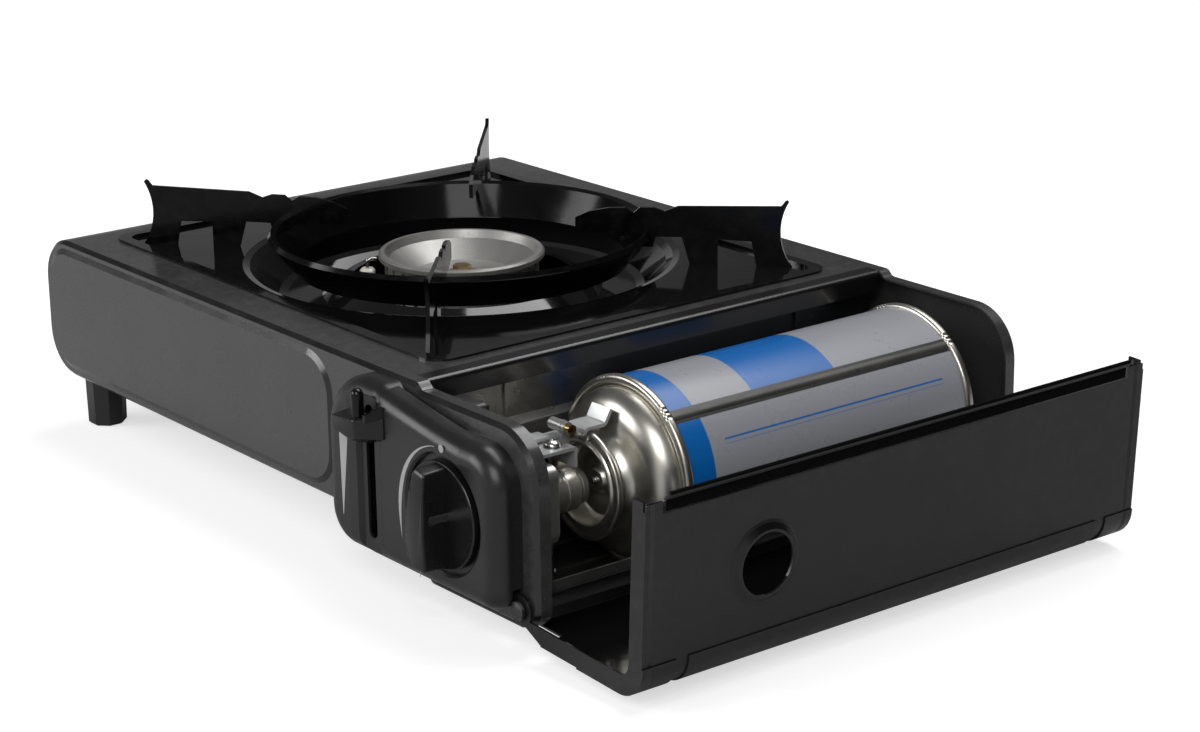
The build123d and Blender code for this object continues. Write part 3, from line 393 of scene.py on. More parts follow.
@dataclass(frozen=True)
class Finish:
    """A surface finish that every point of a piece shares."""

    name: str
    colour: Colour
    shade: Colour
    roughness: float
    swing: float = 0.08
    metallic: float = 0.0
    coat: float = 0.0
    coat_roughness: float = 0.06
    specular: float = 0.5
    grain: Grain = Grain.ORANGE_PEEL
    grain_scale: float = 700.0
    grain_depth: float = 0.01
    stretch: Point3 = (1.0, 1.0, 1.0)
    wear: float = 0.0
    worn_colour: Colour = (0.3, 0.3, 0.3)

    def build(self) -> bpy.types.Material:
        """Makes the material.

        Returns:
            The finished material.
        """
        bench = ShaderBench(self.name)
        inputs = bench.shader.inputs
        for name, value in (("Metallic", self.metallic), ("Coat Weight", self.coat),
                            ("Coat Roughness", self.coat_roughness), ("Specular IOR Level", self.specular)):
            inputs[name].default_value = value
        clouds = bench.ranged(bench.noise(*CLOUDS), *CLOUD_RANGE)
        bench.link(self.paint(bench, bench.mixed(clouds, self.colour, self.shade)), inputs["Base Color"])
        rough = bench.ranged(bench.noise(*SMUDGES), *SMUDGE_RANGE, self.roughness - self.swing,
                             self.roughness + self.swing)
        bench.link(self.polish(bench, rough), inputs["Roughness"])
        self.relief(bench)
        return bench.material

    def paint(self, bench: ShaderBench, colour: Socket) -> Socket:
        """Adds worn edges and spangle to the colour.

        Args:
            bench: The material in work.
            colour: The colour so far.

        Returns:
            The colour with its details.
        """
        if self.grain is Grain.SPANGLE:
            flakes = bench.cells(self.grain_scale, output="Color")
            tone = bench.add("ShaderNodeRGBToBW")
            bench.link(flakes, tone.inputs[0])
            colour = bench.mixed(bench.ranged(tone.outputs[0], *SPANGLE_RANGE), colour, self.worn_colour)
        if self.wear > 0:
            geometry = bench.add("ShaderNodeNewGeometry")
            edge = bench.ranged(geometry.outputs["Pointiness"], *BARE_EDGES)
            broken = bench.times(edge, bench.ranged(bench.noise(BARE_SCALE), *BARE_PATCHES))
            colour = bench.mixed(bench.times(broken, self.wear), colour, self.worn_colour)
        return colour

    def polish(self, bench: ShaderBench, rough: Socket) -> Socket:
        """Changes the roughness where the piece is smoother or duller.

        Args:
            bench: The material in work.
            rough: The roughness so far.

        Returns:
            The roughness to use.
        """
        return rough

    def relief(self, bench: ShaderBench) -> Socket:
        """Adds the bump of the finish's grain.

        Args:
            bench: The material in work.

        Returns:
            The tilted normal.
        """
        fine = bench.noise(self.grain_scale, GRAIN_DETAIL, self.stretch)
        normal = bench.bump(fine, self.grain_depth)
        if self.grain in (Grain.ORANGE_PEEL, Grain.ENAMEL):
            peel = bench.noise(self.grain_scale / PEEL_RATIO, GRAIN_DETAIL)
            normal = bench.bump(peel, self.grain_depth * PEEL_DEPTH, normal)
        if self.grain is Grain.CAST:
            pits = bench.ranged(bench.cells(self.grain_scale * PIT_RATIO), *PIT_RANGE)
            normal = bench.bump(pits, self.grain_depth * PIT_DEPTH, normal)
        if self.grain is Grain.DRAWN:
            waves = bench.noise(self.grain_scale / WAVE_RATIO, GRAIN_DETAIL, self.stretch)
            normal = bench.bump(waves, self.grain_depth * WAVE_DEPTH, normal)
        return normal


@dataclass(frozen=True)
class PrintedTin(Finish):
    """Lacquered tin with plain blocks of colour round a cylinder that lies along y.

    A block is given by its start and end in y and its angles in degrees, and the seam's strip by its angles.
    """

    axis: Point2 = GAS_AXIS
    blue: Colour = (0.002, 0.112, 0.39)
    gap: Colour = (0.010, 0.010, 0.010)
    seam: Point2 = (43.2, 52.8)
    edges: Point2 = (0.15, 0.3)
    blocks: tuple[tuple[float, float, float, float], ...] = (
        (49.0, 64.5, -180.0, 180.0),
        (91.0, 130.0, 48.0, 126.0),
        (71.0, 175.0, 26.6, 28.0),
        (71.0, 175.0, 24.0, 24.6),
    )

    def paint(self, bench: ShaderBench, colour: Socket) -> Socket:
        """Lays the colour blocks over the white lacquer and leaves the side seam's strip dark.

        Args:
            bench: The material in work.
            colour: The lacquer's colour.

        Returns:
            The printed colour.
        """
        across = bench.maths("SUBTRACT", bench.axis(0), self.axis[0] * MM)
        upward = bench.maths("SUBTRACT", bench.axis(2), self.axis[1] * MM)
        angle = bench.times(bench.maths("ARCTAN2", upward, across), 180 / math.pi)
        along = bench.along(1)
        for start, end, low, high in self.blocks:
            block = bench.times(bench.window(along, start, end, self.edges[0]),
                                bench.window(angle, low, high, self.edges[1]))
            colour = bench.mixed(block, colour, self.blue)
        return bench.mixed(bench.window(angle, *self.seam, self.edges[1]), colour, self.gap)


@dataclass(frozen=True)
class ZonedFinish(Finish):
    """A finish with another colour, and where it is given another roughness, in one zone of the piece."""

    zone_colour: Colour = (0.0, 0.0, 0.0)
    zone_roughness: float | None = None

    def zone(self, bench: ShaderBench) -> Socket:
        """How much a point belongs to the zone, from 0 to 1."""
        raise NotImplementedError

    def paint(self, bench: ShaderBench, colour: Socket) -> Socket:
        """Lays the zone's colour over the finish.

        Args:
            bench: The material in work.
            colour: The colour so far.

        Returns:
            The colour with its details.
        """
        return bench.mixed(self.zone(bench), super().paint(bench, colour), self.zone_colour)

    def polish(self, bench: ShaderBench, rough: Socket) -> Socket:
        """Gives the zone its own roughness.

        Args:
            bench: The material in work.
            rough: The roughness so far.

        Returns:
            The roughness to use.
        """
        if self.zone_roughness is None:
            return rough
        return bench.swapped(self.zone(bench), rough, self.zone_roughness)


@dataclass(frozen=True)
class LidPaint(ZonedFinish):
    """Satin paint outside the lid and darker gloss inside it, with pressed lines near its ends and top; the
    recessed band under the top edge is painted as dark as the inside, as painted shade.
    """

    # Colour of the lid's inside and of the band; in the band it is painted shade of the recess.
    zone_colour: Colour = (0.0035, 0.0035, 0.0037)
    zone_roughness: float | None = 0.09
    band_z: Point2 = (66.4, 75.0)
    band_y: Point2 = (-9.5, 201.3)
    band_edges: Point2 = (0.6, 1.2)
    band_slope: float = 3.5
    rims_y: Point2 = (-12.6, 204.6)
    rim_width: float = 1.8
    rim_depth: float = 0.5
    inside_turn: Point2 = (0.35, 0.6)

    def band(self, bench: ShaderBench) -> Socket:
        """The recessed band under the lid's top edge, 1 inside it."""
        return bench.times(bench.window(bench.along(2), *self.band_z, self.band_edges[0]),
                           bench.window(bench.along(1), *self.band_y, self.band_edges[1]))

    def zone(self, bench: ShaderBench) -> Socket:
        """How much a point belongs to the darker zone: faces turned inward or upward, and the band, whose
        darkness is painted shade.

        Args:
            bench: The material in work.

        Returns:
            The zone's share, from 0 to 1.
        """
        inward = bench.ranged(bench.turned(0), *(-value for value in self.inside_turn))
        upward = bench.ranged(bench.turned(2), *self.inside_turn)
        return bench.maths("MAXIMUM", bench.maths("MAXIMUM", inward, upward), self.band(bench))

    def relief(self, bench: ShaderBench) -> Socket:
        """Presses the band and a rolled rim at each end.

        Args:
            bench: The material in work.

        Returns:
            The tilted normal.
        """
        normal = super().relief(bench)
        along = bench.along(1)
        start, end = self.rims_y
        rims = bench.maths("MAXIMUM", bench.ranged(along, start, start - self.rim_width),
                           bench.ranged(along, end, end + self.rim_width))
        normal = bench.bump(rims, self.rim_depth, normal)
        slope = bench.ranged(bench.along(2), *self.band_z, 1.0, 0.0)
        return bench.bump(bench.times(slope, self.band(bench)), self.band_slope, normal)


@dataclass(frozen=True)
class PlatePaint(ZonedFinish):
    """Charcoal paint with the sloping border of the raised panel painted near black as painted shade."""

    # Colour of the painted shade on the panel's slopes.
    zone_colour: Colour = (0.0045, 0.0045, 0.0047)
    slopes: Point2 = (0.35, 0.97)
    slope_edge: float = 0.05

    def zone(self, bench: ShaderBench) -> Socket:
        """The slopes between the panel and the plate, where the shade is painted."""
        return bench.window(bench.maths("ABSOLUTE", bench.turned(1), 0.0), *self.slopes, self.slope_edge)


@dataclass(frozen=True)
class CasingPaint(ZonedFinish):
    """Charcoal paint, painted near black with its own roughness on the strip beside the compartment as
    painted shade.
    """

    # Colour of the painted shade beside the compartment.
    zone_colour: Colour = (0.0028, 0.0028, 0.0030)
    zone_roughness: float | None = 0.30
    shaded_strip_x: Point2 = (238.5, 239.5)

    def zone(self, bench: ShaderBench) -> Socket:
        """The strip beside the compartment, where the shade is painted."""
        return bench.ranged(bench.along(0), *self.shaded_strip_x)


@dataclass(frozen=True)
class CoverPlastic(Finish):
    """Moulded plastic with a shallow valley round the lever's slot."""

    left_slope: Point2 = (220.4, 232.0)
    right_slope: Point2 = (239.4, 240.9)
    face_turn: Point2 = (-0.90, -0.99)
    depth: float = 0.9

    def relief(self, bench: ShaderBench) -> Socket:
        """Sinks the valley in the front face.

        Args:
            bench: The material in work.

        Returns:
            The tilted normal.
        """
        normal = super().relief(bench)
        across = bench.along(0)
        valley = bench.times(bench.ranged(across, *self.left_slope),
                             bench.ranged(across, *self.right_slope, 1.0, 0.0))
        sunk = bench.times(valley, bench.ranged(bench.turned(1), *self.face_turn, 0.0, -1.0))
        return bench.bump(sunk, self.depth, normal)


@dataclass(frozen=True)
class KnobPlastic(ZonedFinish):
    """Moulded plastic with the pointer's groove sunk in the grip's front and painted darker as painted
    shade.
    """

    # Colour of the painted shade in the pointer's groove.
    zone_colour: Colour = (0.0008, 0.0008, 0.0008)
    groove_x: Point2 = (271.8, 273.4)
    groove_z: Point2 = (52.6, 59.6)
    groove_edge: float = 0.6
    groove_depth: float = 0.8
    ripple_scale: float = 20.0

    def zone(self, bench: ShaderBench) -> Socket:
        """The pointer's groove, where the shade is painted."""
        return bench.times(bench.window(bench.along(0), *self.groove_x, self.groove_edge),
                           bench.window(bench.along(2), *self.groove_z, self.groove_edge))

    def relief(self, bench: ShaderBench) -> Socket:
        """Sinks the groove.

        Args:
            bench: The material in work.

        Returns:
            The tilted normal.
        """
        normal = super().relief(bench)
        sunk = bench.maths("SUBTRACT", bench.noise(self.ripple_scale), self.zone(bench))
        return bench.bump(sunk, self.groove_depth, normal)


@dataclass(frozen=True)
class ShieldSheet(ZonedFinish):
    """Galvanised sheet, painted darker and bluish away from its front end as painted shade and painted
    reflection.
    """

    # Colour of the painted shade and reflection towards the back of the shield.
    zone_colour: Colour = (0.020, 0.022, 0.028)
    shade_y: Point2 = (30.0, 85.0)
    shade_share: float = 0.97
    ragged_scale: float = 30.0
    raggedness: float = 25.0

    def zone(self, bench: ShaderBench) -> Socket:
        """The painted shade, which deepens along y with a ragged edge."""
        ragged = bench.times(bench.noise(self.ragged_scale), self.raggedness)
        return bench.ranged(bench.maths("ADD", bench.along(1), ragged), *self.shade_y, 0.0, self.shade_share)


CHARCOAL = PlatePaint("charcoal_paint", (0.036, 0.035, 0.035), (0.031, 0.030, 0.030), 0.26, 0.05, coat=0.25,
                      coat_roughness=0.10, wear=0.15, worn_colour=(0.12, 0.12, 0.12))
SHELL_PAINT = CasingPaint("shell_paint", (0.036, 0.035, 0.035), (0.031, 0.030, 0.030), 0.26, 0.05, coat=0.2,
                          coat_roughness=0.12, wear=0.15, worn_colour=(0.12, 0.12, 0.12))
LID_PAINT = LidPaint("lid_paint", (0.0120, 0.0116, 0.0116), (0.0100, 0.0097, 0.0097), 0.34, 0.05,
                     specular=0.35, wear=0.1, worn_colour=(0.08, 0.08, 0.08))
ENAMEL = Finish("black_enamel", (0.0025, 0.0025, 0.0027), (0.004, 0.004, 0.0042), 0.08, 0.03, coat=0.3,
                coat_roughness=0.03, grain=Grain.ENAMEL, grain_scale=420.0, grain_depth=0.010,
                wear=0.08, worn_colour=(0.06, 0.06, 0.06))
TRIVET_ENAMEL = Finish("trivet_enamel", (0.0014, 0.0014, 0.0015), (0.0022, 0.0022, 0.0023), 0.13, 0.04,
                       specular=0.18, grain=Grain.ENAMEL, grain_scale=420.0, grain_depth=0.012, wear=0.06,
                       worn_colour=(0.05, 0.05, 0.05))
PAN_PAINT = Finish("pan_enamel", (0.034, 0.033, 0.032), (0.024, 0.0235, 0.023), 0.20, 0.05, coat=0.4,
                   coat_roughness=0.05, grain=Grain.ENAMEL, grain_scale=520.0, grain_depth=0.010)
GALVANISED = Finish("galvanised_sheet", (0.34, 0.335, 0.32), (0.25, 0.245, 0.23), 0.30, 0.06,
                    metallic=1.0, grain=Grain.SPANGLE, grain_scale=180.0, grain_depth=0.004,
                    worn_colour=(0.40, 0.40, 0.38))
SHIELD = ShieldSheet("shield_sheet", (0.34, 0.335, 0.32), (0.25, 0.245, 0.23), 0.30, 0.06,
                     metallic=0.8, grain=Grain.SPANGLE, grain_scale=180.0, grain_depth=0.004,
                     worn_colour=(0.40, 0.40, 0.38))
ZINC = Finish("zinc_plate", (0.60, 0.61, 0.61), (0.50, 0.51, 0.51), 0.34, 0.06, metallic=0.6,
              grain=Grain.BRUSHED, grain_scale=900.0, grain_depth=0.004, stretch=(1.0, 6.0, 1.0))
CAST_ALUMINIUM = Finish("cast_aluminium", (0.34, 0.335, 0.32), (0.28, 0.275, 0.265), 0.46, 0.06,
                        metallic=0.85, grain=Grain.CAST, grain_scale=1600.0, grain_depth=0.02)
DIE_CAST = Finish("die_cast_zinc", (0.44, 0.44, 0.43), (0.36, 0.36, 0.35), 0.38, 0.06, metallic=0.85,
                  grain=Grain.CAST, grain_scale=1500.0, grain_depth=0.015)
BRASS = Finish("turned_brass", (0.50, 0.36, 0.16), (0.40, 0.28, 0.12), 0.28, 0.06, metallic=1.0,
               grain=Grain.DRAWN, grain_scale=1500.0, grain_depth=0.003)
NICKEL = Finish("nickelled_brass", (0.62, 0.59, 0.53), (0.52, 0.49, 0.44), 0.32, 0.05, metallic=0.9,
                grain=Grain.DRAWN, grain_scale=1500.0, grain_depth=0.003)
COPPER = Finish("drawn_copper", (0.50, 0.26, 0.15), (0.38, 0.20, 0.11), 0.3, 0.06, metallic=1.0,
                grain=Grain.DRAWN, grain_scale=1200.0, grain_depth=0.003)
STEEL = Finish("bright_steel", (0.50, 0.50, 0.49), (0.40, 0.40, 0.39), 0.22, 0.05, metallic=1.0,
               grain=Grain.DRAWN, grain_scale=1500.0, grain_depth=0.003)
BLACK_STEEL = Finish("blackened_steel", (0.020, 0.020, 0.021), (0.014, 0.014, 0.015), 0.28, 0.06, coat=0.2,
                     grain=Grain.DRAWN, grain_scale=1500.0, grain_depth=0.003, wear=0.3,
                     worn_colour=(0.25, 0.25, 0.25))
TINPLATE = Finish("tinplate", (0.55, 0.53, 0.48), (0.50, 0.48, 0.435), 0.31, 0.03, metallic=1.0,
                  grain=Grain.DRAWN, grain_scale=900.0, grain_depth=0.002, stretch=(1.0, 4.0, 1.0))
SEAM_STEEL = Finish("seam_steel", (0.060, 0.058, 0.052), (0.035, 0.034, 0.031), 0.34, 0.08, metallic=0.3,
                    grain=Grain.BRUSHED, grain_scale=900.0, grain_depth=0.006, stretch=(6.0, 0.4, 6.0))
COVER_PLASTIC = CoverPlastic("cover_plastic", (0.0130, 0.0125, 0.0125), (0.0112, 0.0108, 0.0108), 0.31, 0.04,
                             specular=0.4, grain=Grain.MOULDED, grain_scale=900.0, grain_depth=0.004)
KNOB_PLASTIC = KnobPlastic("knob_plastic", (0.0070, 0.0070, 0.0070), (0.0055, 0.0055, 0.0055), 0.28, 0.05,
                           specular=0.4, grain=Grain.MOULDED, grain_scale=1500.0, grain_depth=0.006)
GLOSS_PLASTIC = Finish("gloss_plastic", (0.0070, 0.0070, 0.0070), (0.0055, 0.0055, 0.0055), 0.28, 0.05,
                       specular=0.4, grain=Grain.MOULDED, grain_scale=1500.0, grain_depth=0.004)
# A darker copy of the lever's gloss plastic: the darkness is painted shade and dark reflection on the post
# and fin.
SHADED_POST_PLASTIC = Finish("shaded_post_plastic", (0.0040, 0.0040, 0.0040), (0.0030, 0.0030, 0.0030), 0.16, 0.03,
                      specular=0.2, coat=0.15, grain=Grain.MOULDED, grain_scale=1500.0, grain_depth=0.002)
FOOT_PLASTIC = Finish("foot_plastic", (0.016, 0.016, 0.016), (0.013, 0.013, 0.013), 0.40, 0.06,
                      grain=Grain.MOULDED, grain_scale=1300.0, grain_depth=0.01)
IGNITER_PLASTIC = Finish("igniter_plastic", (0.03, 0.03, 0.03), (0.025, 0.025, 0.025), 0.4, 0.05,
                         grain=Grain.MOULDED, grain_scale=1300.0, grain_depth=0.01)
CERAMIC = Finish("glazed_ceramic", (0.70, 0.68, 0.62), (0.62, 0.60, 0.55), 0.18, 0.04, coat=0.3,
                 grain=Grain.GLAZED, grain_scale=900.0, grain_depth=0.005)
SILICONE = Finish("silicone_lead", (0.55, 0.53, 0.48), (0.48, 0.46, 0.42), 0.5, 0.05,
                  grain=Grain.MOULDED, grain_scale=1500.0, grain_depth=0.006)
PRINT_WHITE = Finish("panel_print", (0.36, 0.36, 0.36), (0.32, 0.32, 0.32), 0.45, 0.04,
                     grain=Grain.MOULDED, grain_scale=2500.0, grain_depth=0.003)
CAN_PRINT = PrintedTin("can_lacquer", (0.270, 0.275, 0.300), (0.268, 0.273, 0.298), 0.28, 0.01, coat=0.15,
                       coat_roughness=0.12, specular=0.4, grain=Grain.MOULDED, grain_scale=1500.0,
                       grain_depth=0.0005)


class Workshop:
    """Makes meshes in millimetres, gives them finishes and fixes them to the stove's bodies."""

    def __init__(self, frame: dict) -> None:
        """Keeps the frame's nodes.
        """
        self.nodes: dict[str, bpy.types.Object] = frame["nodes"]
        self.made: dict[str, bpy.types.Material] = {}

    def finish(self, finish: Finish) -> bpy.types.Material:
        """Gives a finish's material, made once.

        Args:
            finish: The finish.

        Returns:
            Its material.
        """
        if finish.name not in self.made:
            self.made[finish.name] = finish.build()
        return self.made[finish.name]

    def dress(self, node: str, finish: Finish, smooth: float = 32.0, bevel: float = 0.0) -> None:
        """Gives a solid of the part its finish.

        Args:
            node: The node's name.
            finish: Its finish.
            smooth: Edges flatter than this many degrees are shaded smooth.
            bevel: Width of a rounding on its sharp edges, none at 0.
        """
        piece = self.nodes[node]
        piece.data.materials.clear()
        piece.data.materials.append(self.finish(finish))
        shade_smooth(piece, smooth)
        if bevel > 0:
            add_bevel(piece, bevel)
        LOG.info("dressed %s as %s", node, finish.name)

    def dress_all(self, *groups: tuple[Finish | str, ...]) -> None:
        """Gives solids their finishes.

        Args:
            groups: For each finish, the finish and then the nodes that have it.
        """
        for finish, *nodes in groups:
            for node in nodes:
                self.dress(node, finish)

    def piece(self, name: str, mesh: Mesh, finish: Finish, body: str, slot: str,
              replaces: Sequence[str] = (), smooth: float = 32.0) -> None:
        """Turns a mesh in millimetres into a piece that rides on a body.

        Args:
            name: The piece's name.
            mesh: Its mesh, which is freed.
            finish: Its finish.
            body: The body that it moves with.
            slot: The record's material slot; not used.
            replaces: Solids that it stands for.
            smooth: Edges flatter than this many degrees are shaded smooth.
        """
        bmesh.ops.scale(mesh, vec=(MM, MM, MM), verts=mesh.verts)
        bmesh.ops.recalc_face_normals(mesh, faces=mesh.faces)
        data = bpy.data.meshes.new(name)
        mesh.to_mesh(data)
        mesh.free()
        item = bpy.data.objects.new(name, data)
        bpy.context.scene.collection.objects.link(item)
        data.materials.append(self.finish(finish))
        shade_smooth(item, smooth)
        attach(item, body)
        if replaces:
            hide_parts(*replaces)
        LOG.info("made %s on %s", name, body)


def shade_smooth(piece: bpy.types.Object, angle: float) -> None:
    """Shades a mesh smooth, with sharp edges where faces turn by more than an angle.

    Args:
        piece: The mesh object.
        angle: The angle in degrees.
    """
    piece.data.shade_smooth()
    piece.data.set_sharp_from_angle(angle=math.radians(angle))


def add_bevel(piece: bpy.types.Object, width: float) -> None:
    """Rounds a piece's sharp edges a little.

    Args:
        piece: The mesh object.
        width: The rounding's width in millimetres.
    """
    bevel = piece.modifiers.new("soft_edges", "BEVEL")
    bevel.width = width * MM
    bevel.segments = 2
    bevel.limit_method = "ANGLE"
    bevel.angle_limit = math.radians(BEVEL_ANGLE)


def rounded_outline(corners: Sequence[Point2], radii: Sequence[float], steps: int = 8) -> list[Point2]:
    """A closed outline with round corners.

    Args:
        corners: The corner points in order.
        radii: A radius for each corner.
        steps: Segments in each corner.

    Returns:
        Points along the outline.
    """
    points = []
    count = len(corners)
    for index, (corner, radius) in enumerate(zip(corners, radii)):
        here = Vector(corner)
        before = (Vector(corners[index - 1]) - here).normalized()
        after = (Vector(corners[(index + 1) % count]) - here).normalized()
        half = before.angle(after) / 2
        reach = radius / math.tan(half)
        centre = here + (before + after).normalized() * (radius / math.sin(half))
        start = here + before * reach - centre
        turn = (math.pi - 2 * half) * (1 if before.cross(after) < 0 else -1)
        for step in range(steps + 1):
            spot = centre + start @ Matrix.Rotation(-turn * step / steps, 2)
            points.append((spot.x, spot.y))
    return points


def skin(rings: Sequence[Sequence[Point3]], cap_first: bool = True, cap_last: bool = True) -> Mesh:
    """Joins closed rings of points with faces.

    Args:
        rings: Rings with the same number of points each.
        cap_first: Whether the first ring is filled.
        cap_last: Whether the last ring is filled.

    Returns:
        The mesh.
    """
    mesh = bmesh.new()
    rows = [[mesh.verts.new(point) for point in ring] for ring in rings]
    count = len(rows[0])
    for row, following in zip(rows, rows[1:]):
        for index in range(count):
            other = (index + 1) % count
            mesh.faces.new((row[index], row[other], following[other], following[index]))
    if cap_first:
        mesh.faces.new(rows[0])
    if cap_last:
        mesh.faces.new(rows[-1])
    return mesh


def round_y(axis: Point2) -> Place:
    """Gives the points for a radius, a y and an angle round an axis along y.

    Args:
        axis: The axis's x and z.

    Returns:
        The placing function.
    """
    return lambda radius, along, angle: (axis[0] + radius * math.cos(angle), along,
                                         axis[1] + radius * math.sin(angle))


def round_z(axis: Point2) -> Place:
    """Gives the points for a radius, a height and an angle round an upright axis.

    Args:
        axis: The axis's x and y.

    Returns:
        The placing function.
    """
    return lambda radius, height, angle: (axis[0] + radius * math.cos(angle),
                                          axis[1] + radius * math.sin(angle), height)


def lathe(profile: Sequence[Point2], place: Place, steps: int) -> Mesh:
    """Turns a closed profile about an axis.

    Args:
        profile: (radius, height) points.
        place: Gives the point for a radius, a height and an angle.
        steps: Segments round the axis.

    Returns:
        The mesh.
    """
    rings = []
    for radius, height in profile:
        rings.append([place(radius, height, 2 * math.pi * step / steps) for step in range(steps)])
    rings.append(rings[0])
    mesh = skin(rings, False, False)
    bmesh.ops.remove_doubles(mesh, verts=mesh.verts, dist=WELD_DISTANCE)
    return mesh


def smooth_line(points: Sequence[Point2]) -> list[Point2]:
    """A curve through points, each stretch shaped by its neighbours.

    Args:
        points: The points that it passes.

    Returns:
        Points along the curve.
    """
    line = [Vector(point) for point in (points[0], *points, points[-1])]
    curve = []
    for before, start, end, after in zip(line, line[1:], line[2:], line[3:]):
        for step in range(CURVE_STEPS):
            share = step / CURVE_STEPS
            lead = (end - before) * 0.5
            trail = (after - start) * 0.5
            square, cube = share ** 2, share ** 3
            spot = (start * (2 * cube - 3 * square + 1) + lead * (cube - 2 * square + share)
                    + end * (3 * square - 2 * cube) + trail * (cube - square))
            curve.append((spot.x, spot.y))
    return [*curve, tuple(points[-1])]


@dataclass(frozen=True)
class Studio:
    """Camera, soft lights and a pale floor. Lengths are in metres, but the eye's place is in millimetres.

    The wall, the room and the card are what the stove reflects, each with ranges of place and of glow.
    """

    eye: Point3 = (1012.6, -537.3, 374.6)
    yaw: float = 52.184
    pitch: float = 17.314
    roll: float = -0.845
    lens: float = 86.45
    shift: Point2 = (0.0141, -0.0036)
    clip: Point2 = (0.01, 20.0)
    centre: Point3 = (0.16, 0.1, 0.04)
    wall_edge: float = 139.0
    wall_side: Point2 = (-0.05, 0.08)
    wall_height: Point2 = (0.20, 0.29)
    wall_glow: Point2 = (0.24, 0.0528)
    room_height: Point2 = (0.1, 0.9)
    room_glow: Point2 = (0.03, 0.066)
    card_azimuth: float = -45.0
    card_side: Point2 = (0.3, 0.8)
    card_glow: Point2 = (0.0, 0.30)
    lamps: tuple[tuple[str, Point3, Point2, float], ...] = (
        ("key", (1.7, -1.5, 1.7), (1.4, 1.4), 30.0),
        ("left", (-1.2, -2.0, 1.0), (1.6, 1.2), 34.0),
        ("overhead", (0.1, 0.9, 1.9), (1.8, 1.2), 31.0),
    )
    floor_half: float = 6.0
    floor_drop: float = 0.0002
    floor_grey: float = 0.55
    floor_glow: float = 0.62

    def camera(self) -> None:
        """Places the camera."""
        yaw, pitch, roll = (math.radians(value) for value in (self.yaw, self.pitch, self.roll))
        ahead = Vector((-math.sin(yaw) * math.cos(pitch), math.cos(yaw) * math.cos(pitch), -math.sin(pitch)))
        right = Vector((math.cos(yaw), math.sin(yaw), 0.0))
        above = right.cross(ahead)
        right, above = (right * math.cos(roll) + above * math.sin(roll),
                        above * math.cos(roll) - right * math.sin(roll))
        data = bpy.data.cameras.new("camera")
        data.lens = self.lens
        data.shift_x, data.shift_y = self.shift
        data.clip_start, data.clip_end = self.clip
        camera = bpy.data.objects.new("camera", data)
        turn = Matrix((right, above, -ahead)).transposed()
        camera.matrix_world = Matrix.Translation(Vector(self.eye) * MM) @ turn.to_4x4()
        bpy.context.scene.collection.objects.link(camera)
        bpy.context.scene.camera = camera

    def lamp(self, name: str, spot: Point3, size: Point2, power: float) -> None:
        """Adds a soft box that faces the stove.

        Args:
            name: The lamp's name.
            spot: Where it hangs, in metres.
            size: Its width and height in metres.
            power: Its power in watts.
        """
        data = bpy.data.lights.new(name, "AREA")
        data.shape = "RECTANGLE"
        data.size, data.size_y = size
        data.energy = power
        lamp = bpy.data.objects.new(name, data)
        lamp.location = spot
        lamp.rotation_euler = (Vector(self.centre) - Vector(spot)).to_track_quat("-Z", "Y").to_euler()
        bpy.context.scene.collection.objects.link(lamp)

    def world(self) -> None:
        """Makes the surroundings white to the eye, and to the stove a dim room with one pale wall."""
        bench = WorldBench("studio")
        wall = bench.times(bench.ranged(bench.facing(self.wall_edge), *self.wall_side),
                           bench.ranged(bench.axis(2), *self.wall_height, *self.wall_glow))
        room = bench.ranged(bench.axis(2), *self.room_height, *self.room_glow)
        card = bench.ranged(bench.facing(self.card_azimuth - 90), *self.card_side, *self.card_glow)
        bench.link(bench.maths("ADD", bench.maths("ADD", wall, room), card), bench.felt.inputs["Strength"])
        bpy.context.scene.world = bench.world

    def floor(self) -> None:
        """Lays a pale floor that keeps the stove's shadow."""
        mesh = bmesh.new()
        bmesh.ops.create_grid(mesh, x_segments=1, y_segments=1, size=self.floor_half)
        data = bpy.data.meshes.new("floor")
        mesh.to_mesh(data)
        mesh.free()
        floor = bpy.data.objects.new("floor", data)
        floor.location = (*self.centre[:2], -self.floor_drop)
        bpy.context.scene.collection.objects.link(floor)
        material = bpy.data.materials.new("floor")
        material.use_nodes = True
        tree = material.node_tree
        inputs = tree.nodes["Principled BSDF"].inputs
        for name, value in (("Base Color", (self.floor_grey,) * 3 + (1.0,)), ("Roughness", 0.9),
                            ("Specular IOR Level", 0.1), ("Emission Color", (1.0, 1.0, 1.0, 1.0))):
            inputs[name].default_value = value
        rays = tree.nodes.new("ShaderNodeLightPath")
        glow = tree.nodes.new("ShaderNodeMath")
        glow.operation = "MULTIPLY"
        glow.inputs[1].default_value = self.floor_glow
        tree.links.new(rays.outputs["Is Camera Ray"], glow.inputs[0])
        tree.links.new(glow.outputs[0], inputs["Emission Strength"])
        data.materials.append(material)

    def build(self) -> None:
        """Sets up everything round the stove."""
        bpy.context.scene.view_settings.view_transform = "Standard"
        self.camera()
        self.world()
        self.floor()
        for lamp in self.lamps:
            self.lamp(*lamp)


@dataclass(frozen=True)
class Assembly:
    """A group of the stove's pieces."""

    shop: Workshop

    def build(self) -> None:
        """Dresses the group's solids and makes its pieces."""
        raise NotImplementedError


@dataclass(frozen=True)
class Casing(Assembly):
    """Pressed steel casing with its end plates, base, shield, pan and feet."""

    foot_bevel: float = 0.4

    def build(self) -> None:
        """Dresses the casing's solids."""
        self.shop.dress_all((SHELL_PAINT, "casing_shell"), (CHARCOAL, "front_plate", "back_plate"),
                            (GALVANISED, "base_plate"), (SHIELD, "heat_shield"),
                            (PAN_PAINT, "compartment_pan"))
        self.shop.dress("feet", FOOT_PLASTIC, smooth=20.0, bevel=self.foot_bevel)


